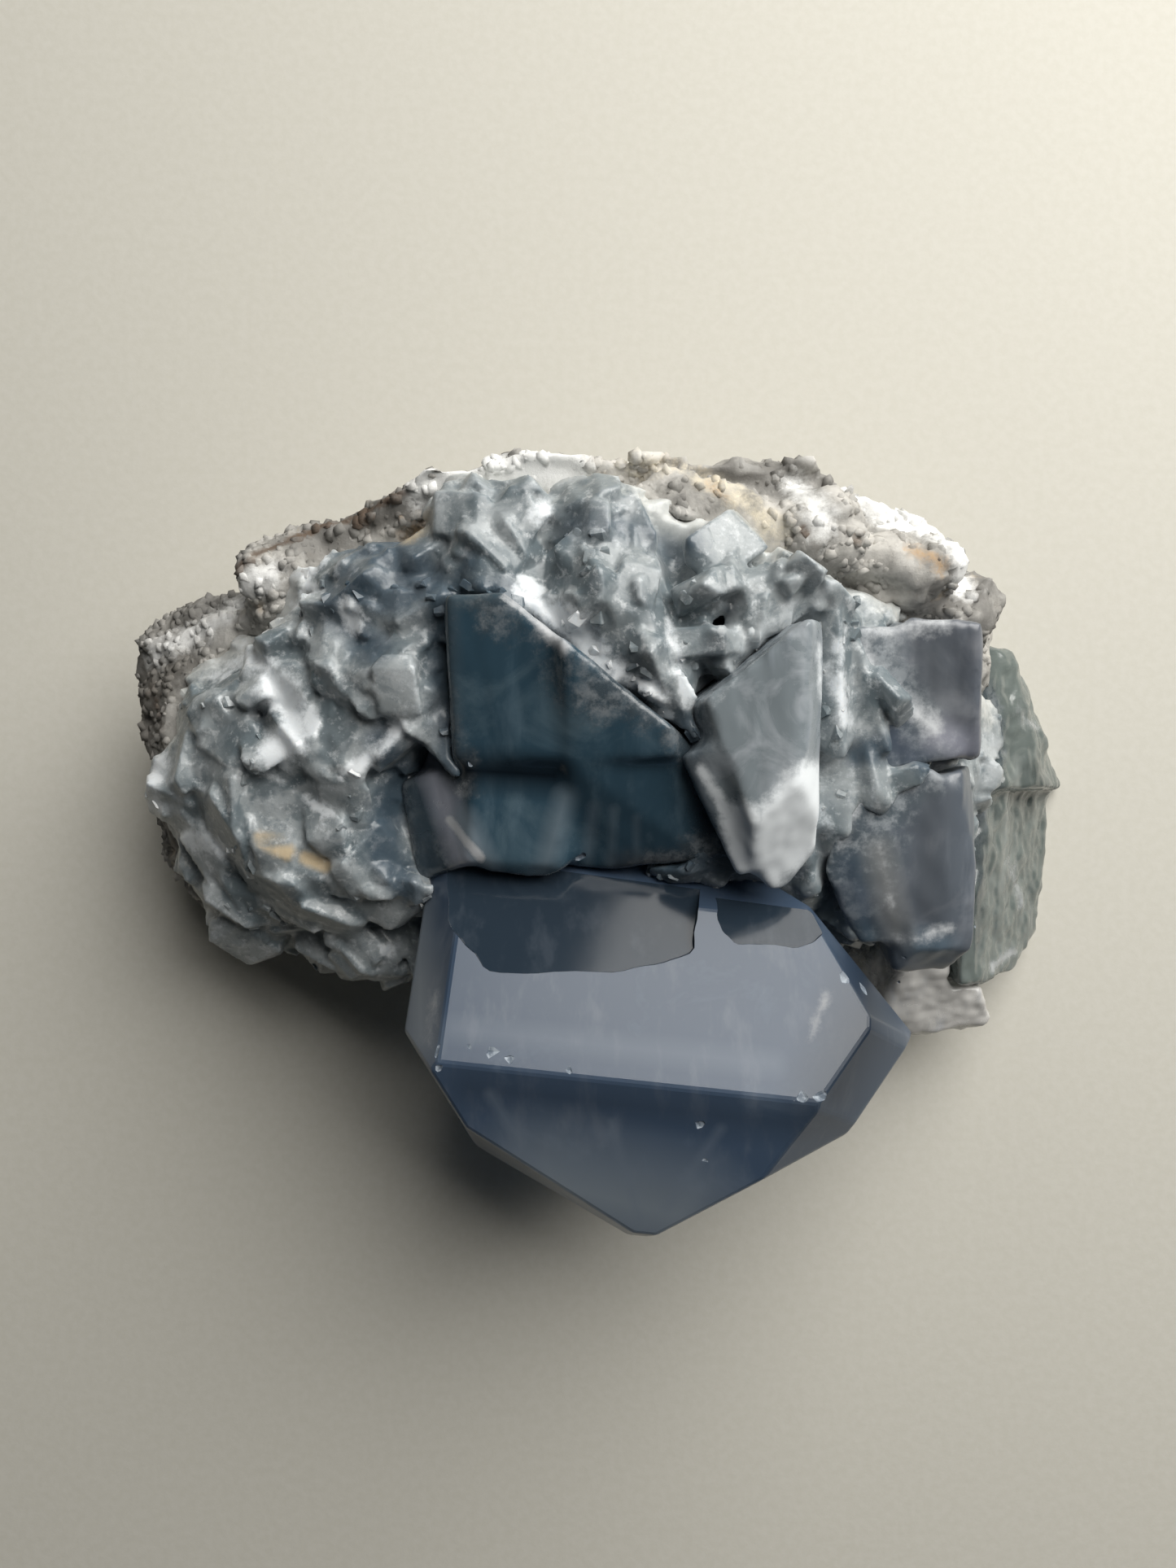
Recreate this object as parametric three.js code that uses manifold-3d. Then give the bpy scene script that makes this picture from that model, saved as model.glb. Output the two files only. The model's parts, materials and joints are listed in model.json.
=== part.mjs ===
// A broken-out piece of a celestite geode: a shell of pale host rock, the bed of intergrown crystal
// that lines it, and the large blue crystals that stand on the bed.
// Millimetres, +Z up. The piece rests on a flat spot at z = 0, its crystals point towards -Y, and the
// rock shell is at the back (+Y) and underneath.

import * as THREE from "three";
import { ConvexGeometry } from "three/addons/geometries/ConvexGeometry.js";
import { ImprovedNoise } from "three/addons/math/ImprovedNoise.js";
import { mergeVertices } from "three/addons/utils/BufferGeometryUtils.js";
import Module from "manifold-3d";

const wasm = await Module();
wasm.setup();

// ---- driving dimensions ----

const SEAT_GAP = 0.3; // between solids that were grown against each other
const CELL = { a: 8.37, b: 5.35, c: 6.87 }; // celestite's unit cell, in angstroms
const GROWTH_FOCUS = new THREE.Vector3(20, -66, 52); // the middle of the geode, where crystals point
const STONE_DETAIL = 8; // how finely the rock shell and the bed are divided
const KNOB_DETAIL = 2;

// The widest line of the rock shell, anticlockwise from the right: [x, y, z].
const SHELL = {
  rim: [
    [33.5, 6, 9],
    [32.4, 12, 13],
    [30.4, 15.4, 16.8],
    [27.6, 19, 19.8],
    [23.4, 21.4, 21.8],
    [18.4, 22.6, 23.4],
    [13.5, 23.8, 24.6],
    [7, 23.8, 25.4],
    [1.6, 22.8, 25.4],
    [-4, 23.2, 25.5],
    [-13, 21.4, 24],
    [-17, 20.6, 22.2],
    [-21, 19.4, 20],
    [-27.6, 15.8, 16.4],
    [-35.2, 13.6, 12.8],
    [-37.3, 8.8, 11.2],
    [-37.2, 3.2, 10.4],
    [-35.5, -2.4, 9.4],
    [-34, -7.2, 8.8],
    [-32.2, -10.8, 8.4],
    [-20, -11, 7],
    [-4, -11, 6],
    [12, -11, 5.5],
    [25, -11, 5],
    [33, -6, 5],
    [35, 0, 6],
  ],
  foot: [1, 0.5, -0.5],
  crown: [-2, 6, 22],
  lump: { size: 6.5, height: 1.3 },
  grit: { size: 2.6, height: 0.7 },
};

// The knobs on the rock shell's rim: where each is, and its radius along x, y and z.
const KNOBS = [
  { at: [-32.8, 6.4, 12], size: [3.2, 4, 2.8] },
  { at: [-28.6, 12, 15], size: [4.4, 3.4, 3.2] },
  { at: [-21.6, 15.6, 19.6], size: [5, 2.8, 3.2] },
  { at: [8, 20, 25.4], size: [5, 2.8, 2.4] },
  { at: [15.4, 17.6, 23.8], size: [5.2, 3.6, 3.2] },
  { at: [23.2, 16.6, 21.6], size: [4.8, 3.2, 3.4] },
  { at: [27.9, 13, 17.6], size: [3.4, 3.2, 4] },
];

const BED = {
  rim: [
    [31, 6.5, 14.6],
    [28.5, 10, 18],
    [23, 12.4, 22],
    [15.4, 14.4, 25],
    [7.4, 18, 27.4],
    [-4, 19.6, 28],
    [-12.4, 18, 25.8],
    [-19, 15.4, 21.8],
    [-25, 11.6, 18],
    [-30.4, 7.6, 15.4],
    [-32.8, 3.2, 13.8],
    [-33, -2.4, 12.4],
    [-30.4, -9.2, 11],
    [-20, -12.4, 11],
    [-6, -12, 10],
    [8, -12, 9],
    [22, -12.5, 8.5],
    [29.6, -10.5, 8],
    [31.6, -5, 9],
    [31.6, 1, 11],
  ],
  foot: [1, 2, 3.2],
  crown: [-1, 5, 27],
  lump: { size: 9, height: 1.6 },
  grit: { size: 3.3, height: 1.1 },
};

const DRUSE = { count: 28, seed: 41, smallest: 2, largest: 3.8 }; // small crystals fused to the bed

// ---- crystal shapes ----

const vector = (list) => new THREE.Vector3(...list);

function millerNormal([h, k, l]) {
  return new THREE.Vector3(h / CELL.a, k / CELL.b, l / CELL.c).normalize();
}

// Every face of a crystal form: the same indices with each combination of signs.
function form(indices, distance) {
  const signs = indices.map((i) => (i === 0 ? [0] : [i, -i]));
  return signs[0].flatMap((h) =>
    signs[1].flatMap((k) => signs[2].map((l) => ({ normal: millerNormal([h, k, l]), distance }))),
  );
}

const face = (indices, distance) => ({ normal: millerNormal(indices), distance });

// A plane that faces a direction and passes through a point, for the faces of broken blocks.
function wall(direction, point) {
  const normal = vector(direction).normalize();
  return { normal, distance: normal.dot(vector(point)) };
}

// A celestite prism along the a axis, with its pinacoid flat, prism flanks, chisel point and bevels.
// chisel is how far along the half length the flat runs before the bevel to the point begins.
function prismFaces({ length, width, thick, chisel = 0.6 }) {
  const halfFlat = thick / 2;
  const point = millerNormal([2, 1, 0]);
  const flank = millerNormal([0, 1, 1]);
  const bevel = millerNormal([1, 0, 1]);
  return [
    ...form([0, 0, 1], halfFlat),
    ...form([0, 1, 1], (flank.y * width) / 2),
    ...form([2, 1, 0], (point.x * length) / 2),
    ...form([1, 0, 1], (bevel.x * chisel * length) / 2 + bevel.z * halfFlat),
  ];
}

// The corner where three faces meet, or null where they don't.
function corner(p, q, r) {
  const qr = q.normal.clone().cross(r.normal);
  const volume = p.normal.dot(qr);
  if (Math.abs(volume) < 1e-6) return null;
  const rp = r.normal.clone().cross(p.normal);
  const pq = p.normal.clone().cross(q.normal);
  return qr.multiplyScalar(p.distance).addScaledVector(rp, q.distance).addScaledVector(pq, r.distance)
    .divideScalar(volume);
}

// The convex solid behind a set of faces, each { normal, distance } from its own middle.
function faceted(faces) {
  const corners = [];
  for (let i = 0; i < faces.length; i++)
    for (let j = i + 1; j < faces.length; j++)
      for (let k = j + 1; k < faces.length; k++) {
        const point = corner(faces[i], faces[j], faces[k]);
        if (!point || faces.some((f) => f.normal.dot(point) > f.distance + 1e-6)) continue;
        if (!corners.some((other) => other.distanceTo(point) < 1e-4)) corners.push(point);
      }
  return new ConvexGeometry(corners);
}

function growthDirection(at) {
  return GROWTH_FOCUS.clone().sub(at).normalize();
}

// Places a crystal: its a axis points along aim, and its c axis is as near to up as that allows.
function placement({ at, aim, up }) {
  const middle = vector(at);
  const a = aim ? vector(aim).normalize() : growthDirection(middle);
  const b = vector(up).cross(a).normalize();
  const c = a.clone().cross(b);
  return new THREE.Matrix4().makeBasis(a, b, c).setPosition(middle);
}

// ---- solids ----

function solidOf(geometry) {
  const bare = geometry.clone();
  for (const name of Object.keys(bare.attributes)) if (name !== "position") bare.deleteAttribute(name);
  const merged = mergeVertices(bare, 1e-4);
  return new wasm.Manifold(
    new wasm.Mesh({
      numProp: 3,
      vertProperties: new Float32Array(merged.attributes.position.array),
      triVerts: new Uint32Array(merged.index.array),
    }),
  );
}

function geometryOf(solid) {
  const mesh = solid.getMesh();
  const points = new Float32Array(mesh.numVert * 3);
  for (let i = 0; i < mesh.numVert; i++)
    points.set(mesh.vertProperties.subarray(i * mesh.numProp, i * mesh.numProp + 3), i * 3);
  const geometry = new THREE.BufferGeometry();
  geometry.setAttribute("position", new THREE.BufferAttribute(points, 3));
  geometry.setIndex(new THREE.BufferAttribute(new Uint32Array(mesh.triVerts), 1));
  const flat = geometry.toNonIndexed();
  flat.computeVertexNormals();
  return flat;
}

// A crystal as a solid; grow moves every face out, which gives the seat that it needs in its neighbour.
function crystal(spec, grow = 0) {
  const faces = spec.faces.map(({ normal, distance }) => ({ normal, distance: distance + grow }));
  const shape = faceted(faces);
  return solidOf(spec.at ? shape.applyMatrix4(placement(spec)) : shape);
}

const joined = (solids) => solids.reduce((sum, next) => sum.add(next));
const group = (specs, grow = 0) => joined(specs.map((spec) => crystal(spec, grow)));
const without = (solid, cutters) => cutters.reduce((rest, cutter) => rest.subtract(cutter), solid);

// The largest body of a solid, without the crumbs that a cut can leave.
function mainBody(solid) {
  return solid.decompose().sort((p, q) => q.volume() - p.volume())[0];
}

// Everything under the surface that the piece rests on.
const belowGround = solidOf(new THREE.BoxGeometry(200, 200, 20).translate(0, 0, -10));

// ---- the lumpy bodies ----

const noise = new ImprovedNoise();

// How far a rough surface stands out at a point, which changes smoothly from place to place.
function relief(point, layers) {
  return layers.reduce((sum, { size, height }) => {
    const [x, y, z] = point.clone().divideScalar(size).toArray();
    return sum + 2 * height * noise.noise(x, y, z);
  }, 0);
}

// Moves every point away from a middle by the relief there, and by as much again as grow.
function roughen(points, middle, layers, grow = 0) {
  for (const point of points) {
    const outward = point.clone().sub(middle).normalize();
    point.addScaledVector(outward, relief(point, layers) + grow);
  }
}

// The points of a ball of even triangles, of radius 1.
function ballPoints(detail) {
  const { position } = new THREE.IcosahedronGeometry(1, detail).attributes;
  const pointAt = (i) => new THREE.Vector3().fromBufferAttribute(position, i);
  return Array.from({ length: position.count }, (_, i) => pointAt(i));
}

// A closed stone: a ball whose equator is drawn out to the rim, with the foot and the crown as poles.
function pebble({ rim, foot, crown, lump, grit }, grow = 0) {
  const curve = new THREE.CatmullRomCurve3(rim.map(vector), true, "centripetal");
  const below = vector(foot);
  const above = vector(crown);
  const points = ballPoints(STONE_DETAIL).map((ball) => {
    const turn = Math.atan2(ball.y, ball.x) / (2 * Math.PI);
    const edge = curve.getPointAt((turn + 1) % 1);
    const [pole, roundness] = ball.z < 0 ? [below, 2.4] : [above, 2.6];
    const share = Math.hypot(ball.x, ball.y) ** (2 / roundness);
    const { x, y } = pole.clone().lerp(edge, share);
    return new THREE.Vector3(x, y, THREE.MathUtils.lerp(edge.z, pole.z, Math.abs(ball.z)));
  });
  roughen(points, below.clone().lerp(above, 0.5), [lump, grit], grow);
  return solidOf(new THREE.BufferGeometry().setFromPoints(points));
}

// A rough knob of rock.
function knob({ at, size }) {
  const points = ballPoints(KNOB_DETAIL).map((ball) => ball.multiply(vector(size)).add(vector(at)));
  roughen(points, vector(at), [SHELL.lump, SHELL.grit]);
  return solidOf(new THREE.BufferGeometry().setFromPoints(points));
}

// ---- the large crystals ----

// The big crystal at the front: a broad flat face on top, a wide chisel bevel, and a blunt point.
const frontCrystal = [
  {
    at: [3.5, -14, 17],
    aim: [-0.097, -0.922, 0.374],
    up: [0.039, 0.372, 0.927],
    faces: [
      face([0, 0, 1], 10.7),
      face([1, 0, 1], 15.2),
      face([7, -2, 0], 17.75),
      face([5, 2, 0], 18.7),
      face([1, 0, 0], 20.1),
      face([2, 1, 1], 19.6),
      face([1, 1, 1], 19.75),
      face([1, 1, 0], 20),
      face([0, 1, 1], 19.3),
      face([-1, 1, 1], 15.1),
      face([-2, 1, 0], 9.8),
      face([0, -1, 1], 16.9),
      face([0, -1, 0], 16.1),
      face([4, -3, 0], 17.7),
      face([-1, 0, 1], 9.4),
      face([-1, 0, 0], 10),
      face([0, 0, -1], 8.6),
      face([1, 0, -1], 14.4),
      face([2, 3, -3], 17.6),
      face([2, -3, -3], 16),
      face([0, -1, -1], 14.6),
      face([0, 1, -1], 17.4),
    ],
  },
];

// The deep blue crystals in the middle: a broad block that ends in a step, the striated slope beside
// it, and the pointed crystal under the step.
const blueCrystals = [
  {
    faces: [
      wall([-0.15, -0.28, 0.95], [-5.7, 6.8, 30]),
      wall([-1, -0.05, 0.12], [-9.4, 6, 30]),
      wall([0.03, -1, -0.12], [-5.7, 1.5, 28.4]),
      wall([0.613, 0.79, 0], [-4.8, 12.2, 31]),
      wall([0, 1, 0], [-6, 12.8, 31]),
      wall([0, 0, -1], [0, 0, 13]),
      wall([1, 0, 0], [6, 0, 25]),
    ],
  },
  {
    faces: [
      wall([0.05, -0.38, 0.92], [2.1, 1.9, 29.3]),
      wall([-0.136, -0.576, 0.806], [-1.3, 1, 28.9]),
      wall([0.1, -1, 0], [4.6, -5.9, 25]),
      wall([-1, -0.1, 0.1], [-1.5, 0, 27]),
      wall([0.613, 0.79, 0], [-4.8, 12.2, 31]),
      wall([1, 0, 0], [11, 0, 25]),
      wall([0, 0, -1], [0, 0, 13]),
    ],
  },
  {
    at: [-5, -1.5, 21.5],
    aim: [-0.06, -0.97, -0.18],
    up: [0, -0.18, 0.98],
    faces: [
      face([0, 0, 1], 5.8),
      face([0, 1, 1], 6.1),
      face([0, -1, 1], 6.1),
      face([2, 1, 0], 4.9),
      face([2, -1, 0], 4.9),
      face([1, 0, 1], 6.5),
      face([2, -1, 2], 6.6),
      face([0, 1, 0], 8),
      face([0, -1, 0], 8),
      face([0, 0, -1], 7),
      face([-1, 0, 0], 5),
    ],
  },
];

// The tallest crystal, whose bruised white point stands over the front crystal.
const tallCrystal = [
  {
    faces: [
      wall([-0.12, -0.12, 0.985], [12.4, 4.9, 33]),
      wall([-0.876, -0.368, 0.313], [8, 4.9, 32.6]),
      wall([0.326, -0.586, 0.741], [10.75, -1.1, 33.2]),
      wall([0.8, -0.1, 0.6], [14.3, 3.4, 32.8]),
      wall([1, 0, 0.1], [15.6, 3.5, 31]),
      wall([-0.806, -0.591, 0], [9.7, -3.2, 29]),
      wall([0.79, -0.61, 0], [16.2, -4.3, 29]),
      wall([-0.62, 0.78, 0.1], [9.3, 6.9, 32.6]),
      wall([0.1, 0.98, 0], [15, 10.8, 31]),
      wall([-1, 0, 0], [5.4, 4, 26]),
      wall([0, -0.6, -0.8], [13.6, -7.2, 26.6]),
      wall([0, 0, -1], [0, 0, 14]),
    ],
  },
];

// The long prism on the right, with a broad dull flank and a narrow bevel to its left.
const sidePrism = [
  {
    faces: [
      wall([0.05, -0.1, 0.99], [24.5, -5, 24]),
      wall([-0.79, -0.2, 0.57], [22, -2.2, 24]),
      wall([-0.98, -0.18, 0], [21.2, -4, 22]),
      wall([0.85, 0.12, 0.52], [27.9, -2.2, 24]),
      wall([1, 0, 0], [28.6, -5, 22]),
      wall([0, -0.72, 0.69], [25.4, -11.4, 24]),
      wall([0.8, -0.6, 0], [28.4, -12.4, 22]),
      wall([-0.7, -0.7, 0], [21.3, -12.2, 22]),
      wall([0, -1, -0.3], [25, -14.2, 21]),
      wall([-0.29, 0.957, 0], [28, 1.4, 24]),
      wall([0, 0, -1], [0, 0, 9]),
    ],
  },
];

// The dull grey block above it, with a bright bevel along its lower edge.
const backBlock = [
  {
    faces: [
      wall([-0.1, -0.2, 0.97], [24.5, 8.6, 26.6]),
      wall([-0.12, -0.5, 0.85], [25.4, 5.2, 26.1]),
      wall([0, -1, -0.1], [26, 1.8, 24.6]),
      wall([-0.85, -0.52, 0.1], [23.7, 4.4, 26]),
      wall([-1, 0, 0.1], [21.1, 8.5, 26]),
      wall([1, 0, 0.25], [28, 6, 26]),
      wall([-0.66, 0.75, 0.1], [21.6, 10.8, 26]),
      wall([0.1, 1, 0], [25, 11.6, 26]),
      wall([0, 0, -1], [0, 0, 11]),
    ],
  },
];

// The thin clear crust at the right, which slopes down to the surface that the piece rests on.
const edgePlates = [
  {
    faces: [
      wall([0.75, -0.04, 0.66], [37.4, -6, 7.2]),
      wall([0.35, 0, 0.94], [33.6, -6, 12.4]),
      wall([1, 0.03, -0.1], [42.2, -2.7, 1.5]),
      wall([0.988, -0.153, 0], [41.2, -11, 1.5]),
      wall([0.63, -0.77, 0], [38.2, -15.8, 3]),
      wall([0, -1, 0], [35, -16.6, 6]),
      wall([0.9, 0.44, 0], [42.1, 0.2, 2]),
      wall([0.1, 1, 0], [36, 2, 6]),
      wall([-1, 0, 0], [30.4, -6, 8]),
      wall([-0.5, 0, -0.86], [36, -6, 0.2]),
    ],
  },
  {
    faces: [
      wall([0.5, 0.06, 0.86], [34.2, 5.6, 12.2]),
      wall([0.86, 0.2, 0.46], [37.4, 5, 10.6]),
      wall([0.82, 0.57, 0], [36.6, 10.4, 10]),
      wall([0.1, 1, 0], [32, 11.8, 12]),
      wall([0, -1, 0], [36, -0.4, 6]),
      wall([-1, 0, 0], [30, 5, 8]),
      wall([-0.3, 0.2, -0.93], [36, 5, 2.4]),
    ],
  },
  {
    at: [37, 5, 6],
    aim: [0.55, -0.83, -0.05],
    up: [0.4, 0.1, 0.9],
    faces: prismFaces({ length: 9, width: 5.6, thick: 5.4, chisel: 0.5 }),
  },
];

// The small pale crystal at the lower right corner.
const cornerCrystal = [
  {
    faces: [
      wall([0.05, -0.35, 0.93], [29.5, -17.5, 11.5]),
      wall([0.1, -0.98, 0.2], [30.5, -21, 9.8]),
      wall([-0.55, -0.8, 0.2], [26.6, -20.6, 9.8]),
      wall([0.9, 0.4, 0.1], [33.9, -19, 9.6]),
      wall([0.75, -0.66, 0.1], [33.9, -20.2, 9.6]),
      wall([-0.8, 0.1, 0.6], [25, -17, 11]),
      wall([0, 1, 0], [29, -11, 9]),
      wall([0.1, -0.5, -0.86], [30, -19, 6.4]),
      wall([0, 0, -1], [0, 0, 4.6]),
    ],
  },
];

// ---- what is fused to the bed ----

const bedCrystals = [
  // the translucent blocks at the lower left
  { at: [-18.6, -7.6, 12], aim: [0.42, -0.9, -0.1], up: [0.1, -0.1, 1], size: [16.4, 15, 13] },
  { at: [-12.4, -8.4, 13], aim: [0.1, -0.99, 0], up: [-0.25, -0.1, 1], size: [12.6, 9, 12] },
  { at: [-26, -7, 11.2], aim: [0.15, -0.98, 0], up: [-0.3, -0.05, 1], size: [13.2, 13, 11] },
  { at: [-21, 0.2, 14.2], aim: [0.75, -0.65, -0.1], up: [0, 0.1, 1], size: [20, 9, 10] },
  { at: [-28.4, -1.2, 12.4], aim: [0.6, -0.75, 0.1], up: [-0.45, 0.1, 1], size: [10, 9, 9] },
  // the bruised lump and the blades above them
  { at: [-23.4, 6, 15.4], aim: [0.5, -0.7, 0.45], up: [-0.1, 0.2, 1], size: [11, 9, 9] },
  { at: [-18.2, 7.2, 17.2], aim: [0.55, -0.75, 0.1], up: [-0.3, 0.1, 1], size: [13, 6, 9] },
  { at: [-13.6, 6.4, 19.4], aim: [-0.5, -0.85, 0], up: [0.25, 0.1, 1], size: [15, 5, 8] },
  { at: [-15.8, 4.4, 18], aim: [-0.6, -0.75, -0.1], up: [0, 0.3, 1], size: [14, 4.5, 8] },
  // the dark slate facet at the upper left
  { at: [-15.2, 13.2, 19.2], aim: [0.3, -0.92, -0.25], up: [-0.1, -0.2, 1], size: [10, 12, 10] },
  // the ridge over the blue block
  { at: [-2.2, 11.8, 27.4], aim: [0.8, -0.6, 0.05], up: [-0.2, -0.3, 1], size: [13, 4, 9] },
  { at: [2.6, 9, 28], aim: [0.72, -0.69, 0], up: [0.1, -0.1, 1], size: [10, 4.4, 8] },
  { at: [5.6, 7.4, 28.2], aim: [0.3, -0.95, 0], up: [0.3, 0, 1], size: [9, 3.6, 8] },
  // the mottled zone between the ridge and the rock
  { at: [-7, 15.4, 24.6], aim: [0.3, -0.9, 0.3], up: [-0.1, 0.3, 1], size: [12, 9, 9] },
  { at: [1.4, 14.4, 26.4], aim: [0.1, -0.9, 0.4], up: [0.1, 0.3, 1], size: [12, 10, 8] },
  { at: [8.6, 12.2, 26.4], aim: [-0.1, -0.9, 0.4], up: [0.1, 0.3, 1], size: [11, 7, 9] },
  { at: [11.6, 11.4, 28.2], aim: [0.75, 0.6, 0], up: [-0.2, 0.3, 1], size: [9, 3.4, 8] },
  // the thin ridges between the tall crystal and the grey block
  { at: [17, 8, 26.6], aim: [0.05, -0.97, -0.1], up: [0.2, 0, 1], size: [12, 3.4, 9] },
  { at: [19.2, 7.4, 25.4], aim: [0.3, -0.93, -0.1], up: [0.3, 0, 1], size: [11, 3, 9] },
  { at: [17.8, 0.6, 23.4], aim: [-0.05, -0.98, 0], up: [0.5, 0, 1], size: [9, 4, 9] },
  { at: [20.6, 2.2, 22.6], aim: [0.2, -0.95, 0.1], up: [-0.2, 0.1, 1], size: [9, 6, 8] },
  // the small crystals beside the crack
  { at: [17.4, -3.4, 20.4], aim: [-0.2, -0.97, 0], up: [-0.1, 0, 1], size: [10, 6, 9] },
  { at: [20, -6.2, 18.6], aim: [0.15, -0.98, 0], up: [-0.3, 0, 1], size: [11, 5.4, 9] },
];

const pits = [
  { at: [-12.8, -2.4, 25.8], aim: [-0.1, -1, 0], up: [-0.1, 0, 1], size: [12, 8.4, 7] },
  { at: [-24.8, 5.6, 18.6], aim: [0.2, -0.2, 1], up: [0.75, 0.65, 0], size: [9, 3, 4.4] },
  { at: [9.1, 11.3, 31], aim: [0.1, -0.2, 1], up: [0, 1, 0], size: [10, 3, 2.8] },
  { at: [7.6, 8, 31], aim: [0.1, -0.1, 1], up: [0, 1, 0.1], size: [12, 2, 3.8] },
];

const sized = ({ size: [length, width, thick], ...place }) => ({
  ...place,
  faces: prismFaces({ length, width, thick }),
});

// A repeatable stream of numbers from 0 to 1.
function seeded(seed) {
  let state = seed;
  return () => {
    state = (state + 0x6d2b79f5) | 0;
    let mixed = Math.imul(state ^ (state >>> 15), 1 | state);
    mixed = (mixed + Math.imul(mixed ^ (mixed >>> 7), 61 | mixed)) ^ mixed;
    return ((mixed ^ (mixed >>> 14)) >>> 0) / 4294967296;
  };
}

// Small crystals over the open side of the bed, each pointing to the middle of the geode.
function druse() {
  const random = seeded(DRUSE.seed);
  const curve = new THREE.CatmullRomCurve3(BED.rim.map(vector), true, "centripetal");
  const crown = vector(BED.crown);
  return Array.from({ length: DRUSE.count }, () => {
    const edge = curve.getPointAt(0.42 * random());
    const share = 0.3 + 0.6 * random();
    const at = crown.clone().lerp(edge, share);
    at.z = THREE.MathUtils.lerp(crown.z, edge.z, 1 - Math.sqrt(1 - share ** 2.6 * 0.96));
    const aim = growthDirection(at).add(
      new THREE.Vector3(random() - 0.5, random() - 0.5, random() - 0.5).multiplyScalar(0.9),
    );
    const width = THREE.MathUtils.lerp(DRUSE.smallest, DRUSE.largest, random() ** 1.5);
    return {
      at: at.toArray(),
      aim: aim.toArray(),
      up: [random() - 0.5, random() - 0.5, 1],
      faces: prismFaces({ length: width * 2.2, width, thick: width * 0.9, chisel: 0.5 }),
    };
  });
}

// ---- assembly ----

const bigGroups = [
  { name: "front_crystal", specs: frontCrystal, color: 0x4a5a6c, roughness: 0.12 },
  { name: "tall_crystal", specs: tallCrystal, color: 0x8b959c, roughness: 0.25 },
  { name: "blue_crystals", specs: blueCrystals, color: 0x2f4a5e, roughness: 0.15 },
  { name: "side_prism", specs: sidePrism, color: 0x62686e, roughness: 0.3 },
  { name: "back_block", specs: backBlock, color: 0x5d6368, roughness: 0.35 },
  { name: "edge_plates", specs: edgePlates, color: 0x7d8580, roughness: 0.2 },
  { name: "corner_crystal", specs: cornerCrystal, color: 0x77797a, roughness: 0.25 },
];

const fused = [...bedCrystals.map(sized), ...druse()];
const solids = {};
const seats = [];
for (const { name, specs } of bigGroups) {
  solids[name] = mainBody(without(group(specs), [...seats, belowGround]));
  seats.push(group(specs, SEAT_GAP));
}
solids.crystal_bed = mainBody(
  without(pebble(BED).add(group(fused)), [...seats, group(pits.map(sized)), belowGround]),
);
const bedSeat = pebble(BED, 1.5 * SEAT_GAP).add(group(fused, SEAT_GAP));
const rock = pebble(SHELL).add(joined(KNOBS.map(knob)));
solids.rock_shell = mainBody(without(rock, [bedSeat, ...seats, belowGround]));

const lookOf = ({ name, color, roughness }) => [name, { color, roughness }];
const looks = Object.fromEntries(bigGroups.map(lookOf));
looks.crystal_bed = { color: 0x868c90, roughness: 0.4 };
looks.rock_shell = { color: 0xb9b5ae, roughness: 0.9 };

const geode = new THREE.Group();
geode.name = "celestite_geode";
for (const [name, solid] of Object.entries(solids)) {
  const mesh = new THREE.Mesh(
    geometryOf(solid),
    new THREE.MeshStandardMaterial({ ...looks[name], metalness: 0 }),
  );
  mesh.name = name;
  geode.add(mesh);
}

// The origin is under the middle of the whole piece, on the surface that it rests on.
const box = new THREE.Box3().setFromObject(geode);
const middle = box.getCenter(new THREE.Vector3());
geode.position.set(-middle.x, -middle.y, -box.min.z);

export default geode;
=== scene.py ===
import json
import math
import random

import bmesh
import bpy
import numpy as np
from mathutils import Matrix, Vector, noise
from mathutils.bvhtree import BVHTree

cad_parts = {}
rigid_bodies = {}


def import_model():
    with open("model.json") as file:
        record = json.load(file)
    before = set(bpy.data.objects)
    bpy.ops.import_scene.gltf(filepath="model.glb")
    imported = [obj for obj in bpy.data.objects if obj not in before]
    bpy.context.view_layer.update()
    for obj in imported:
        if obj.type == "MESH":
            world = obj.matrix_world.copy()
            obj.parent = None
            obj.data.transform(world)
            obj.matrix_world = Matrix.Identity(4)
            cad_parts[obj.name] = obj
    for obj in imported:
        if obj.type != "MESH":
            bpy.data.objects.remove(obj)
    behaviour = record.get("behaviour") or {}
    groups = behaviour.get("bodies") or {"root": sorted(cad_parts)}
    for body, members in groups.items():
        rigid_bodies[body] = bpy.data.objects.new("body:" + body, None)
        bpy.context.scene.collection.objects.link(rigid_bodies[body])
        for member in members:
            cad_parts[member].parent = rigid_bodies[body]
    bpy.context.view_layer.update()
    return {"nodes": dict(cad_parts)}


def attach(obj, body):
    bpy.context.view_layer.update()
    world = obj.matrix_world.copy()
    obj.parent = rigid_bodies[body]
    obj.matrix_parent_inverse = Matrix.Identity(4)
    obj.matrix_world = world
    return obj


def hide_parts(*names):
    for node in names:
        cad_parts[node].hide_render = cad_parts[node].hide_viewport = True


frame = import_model()
print("frame loaded:", ", ".join(sorted(frame["nodes"])))

mm = 0.001  # the scene is in metres
celestiteIor = 1.62

# Marks and chips are laid out in millimetres from the datum: x and y from the point of the table that
# the camera looks down on, and z up from the table.
datum = Vector((-3.359, 4.646, 0))


def place(at):
    return (Vector(at) + datum) * mm


# Colours are given as red, green and blue from 0 to 255.
def linear(colour):
    shares = [channel / 255 for channel in colour]
    return [share / 12.92 if share <= 0.04045 else ((share + 0.055) / 1.055) ** 2.4 for share in shares]


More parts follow.
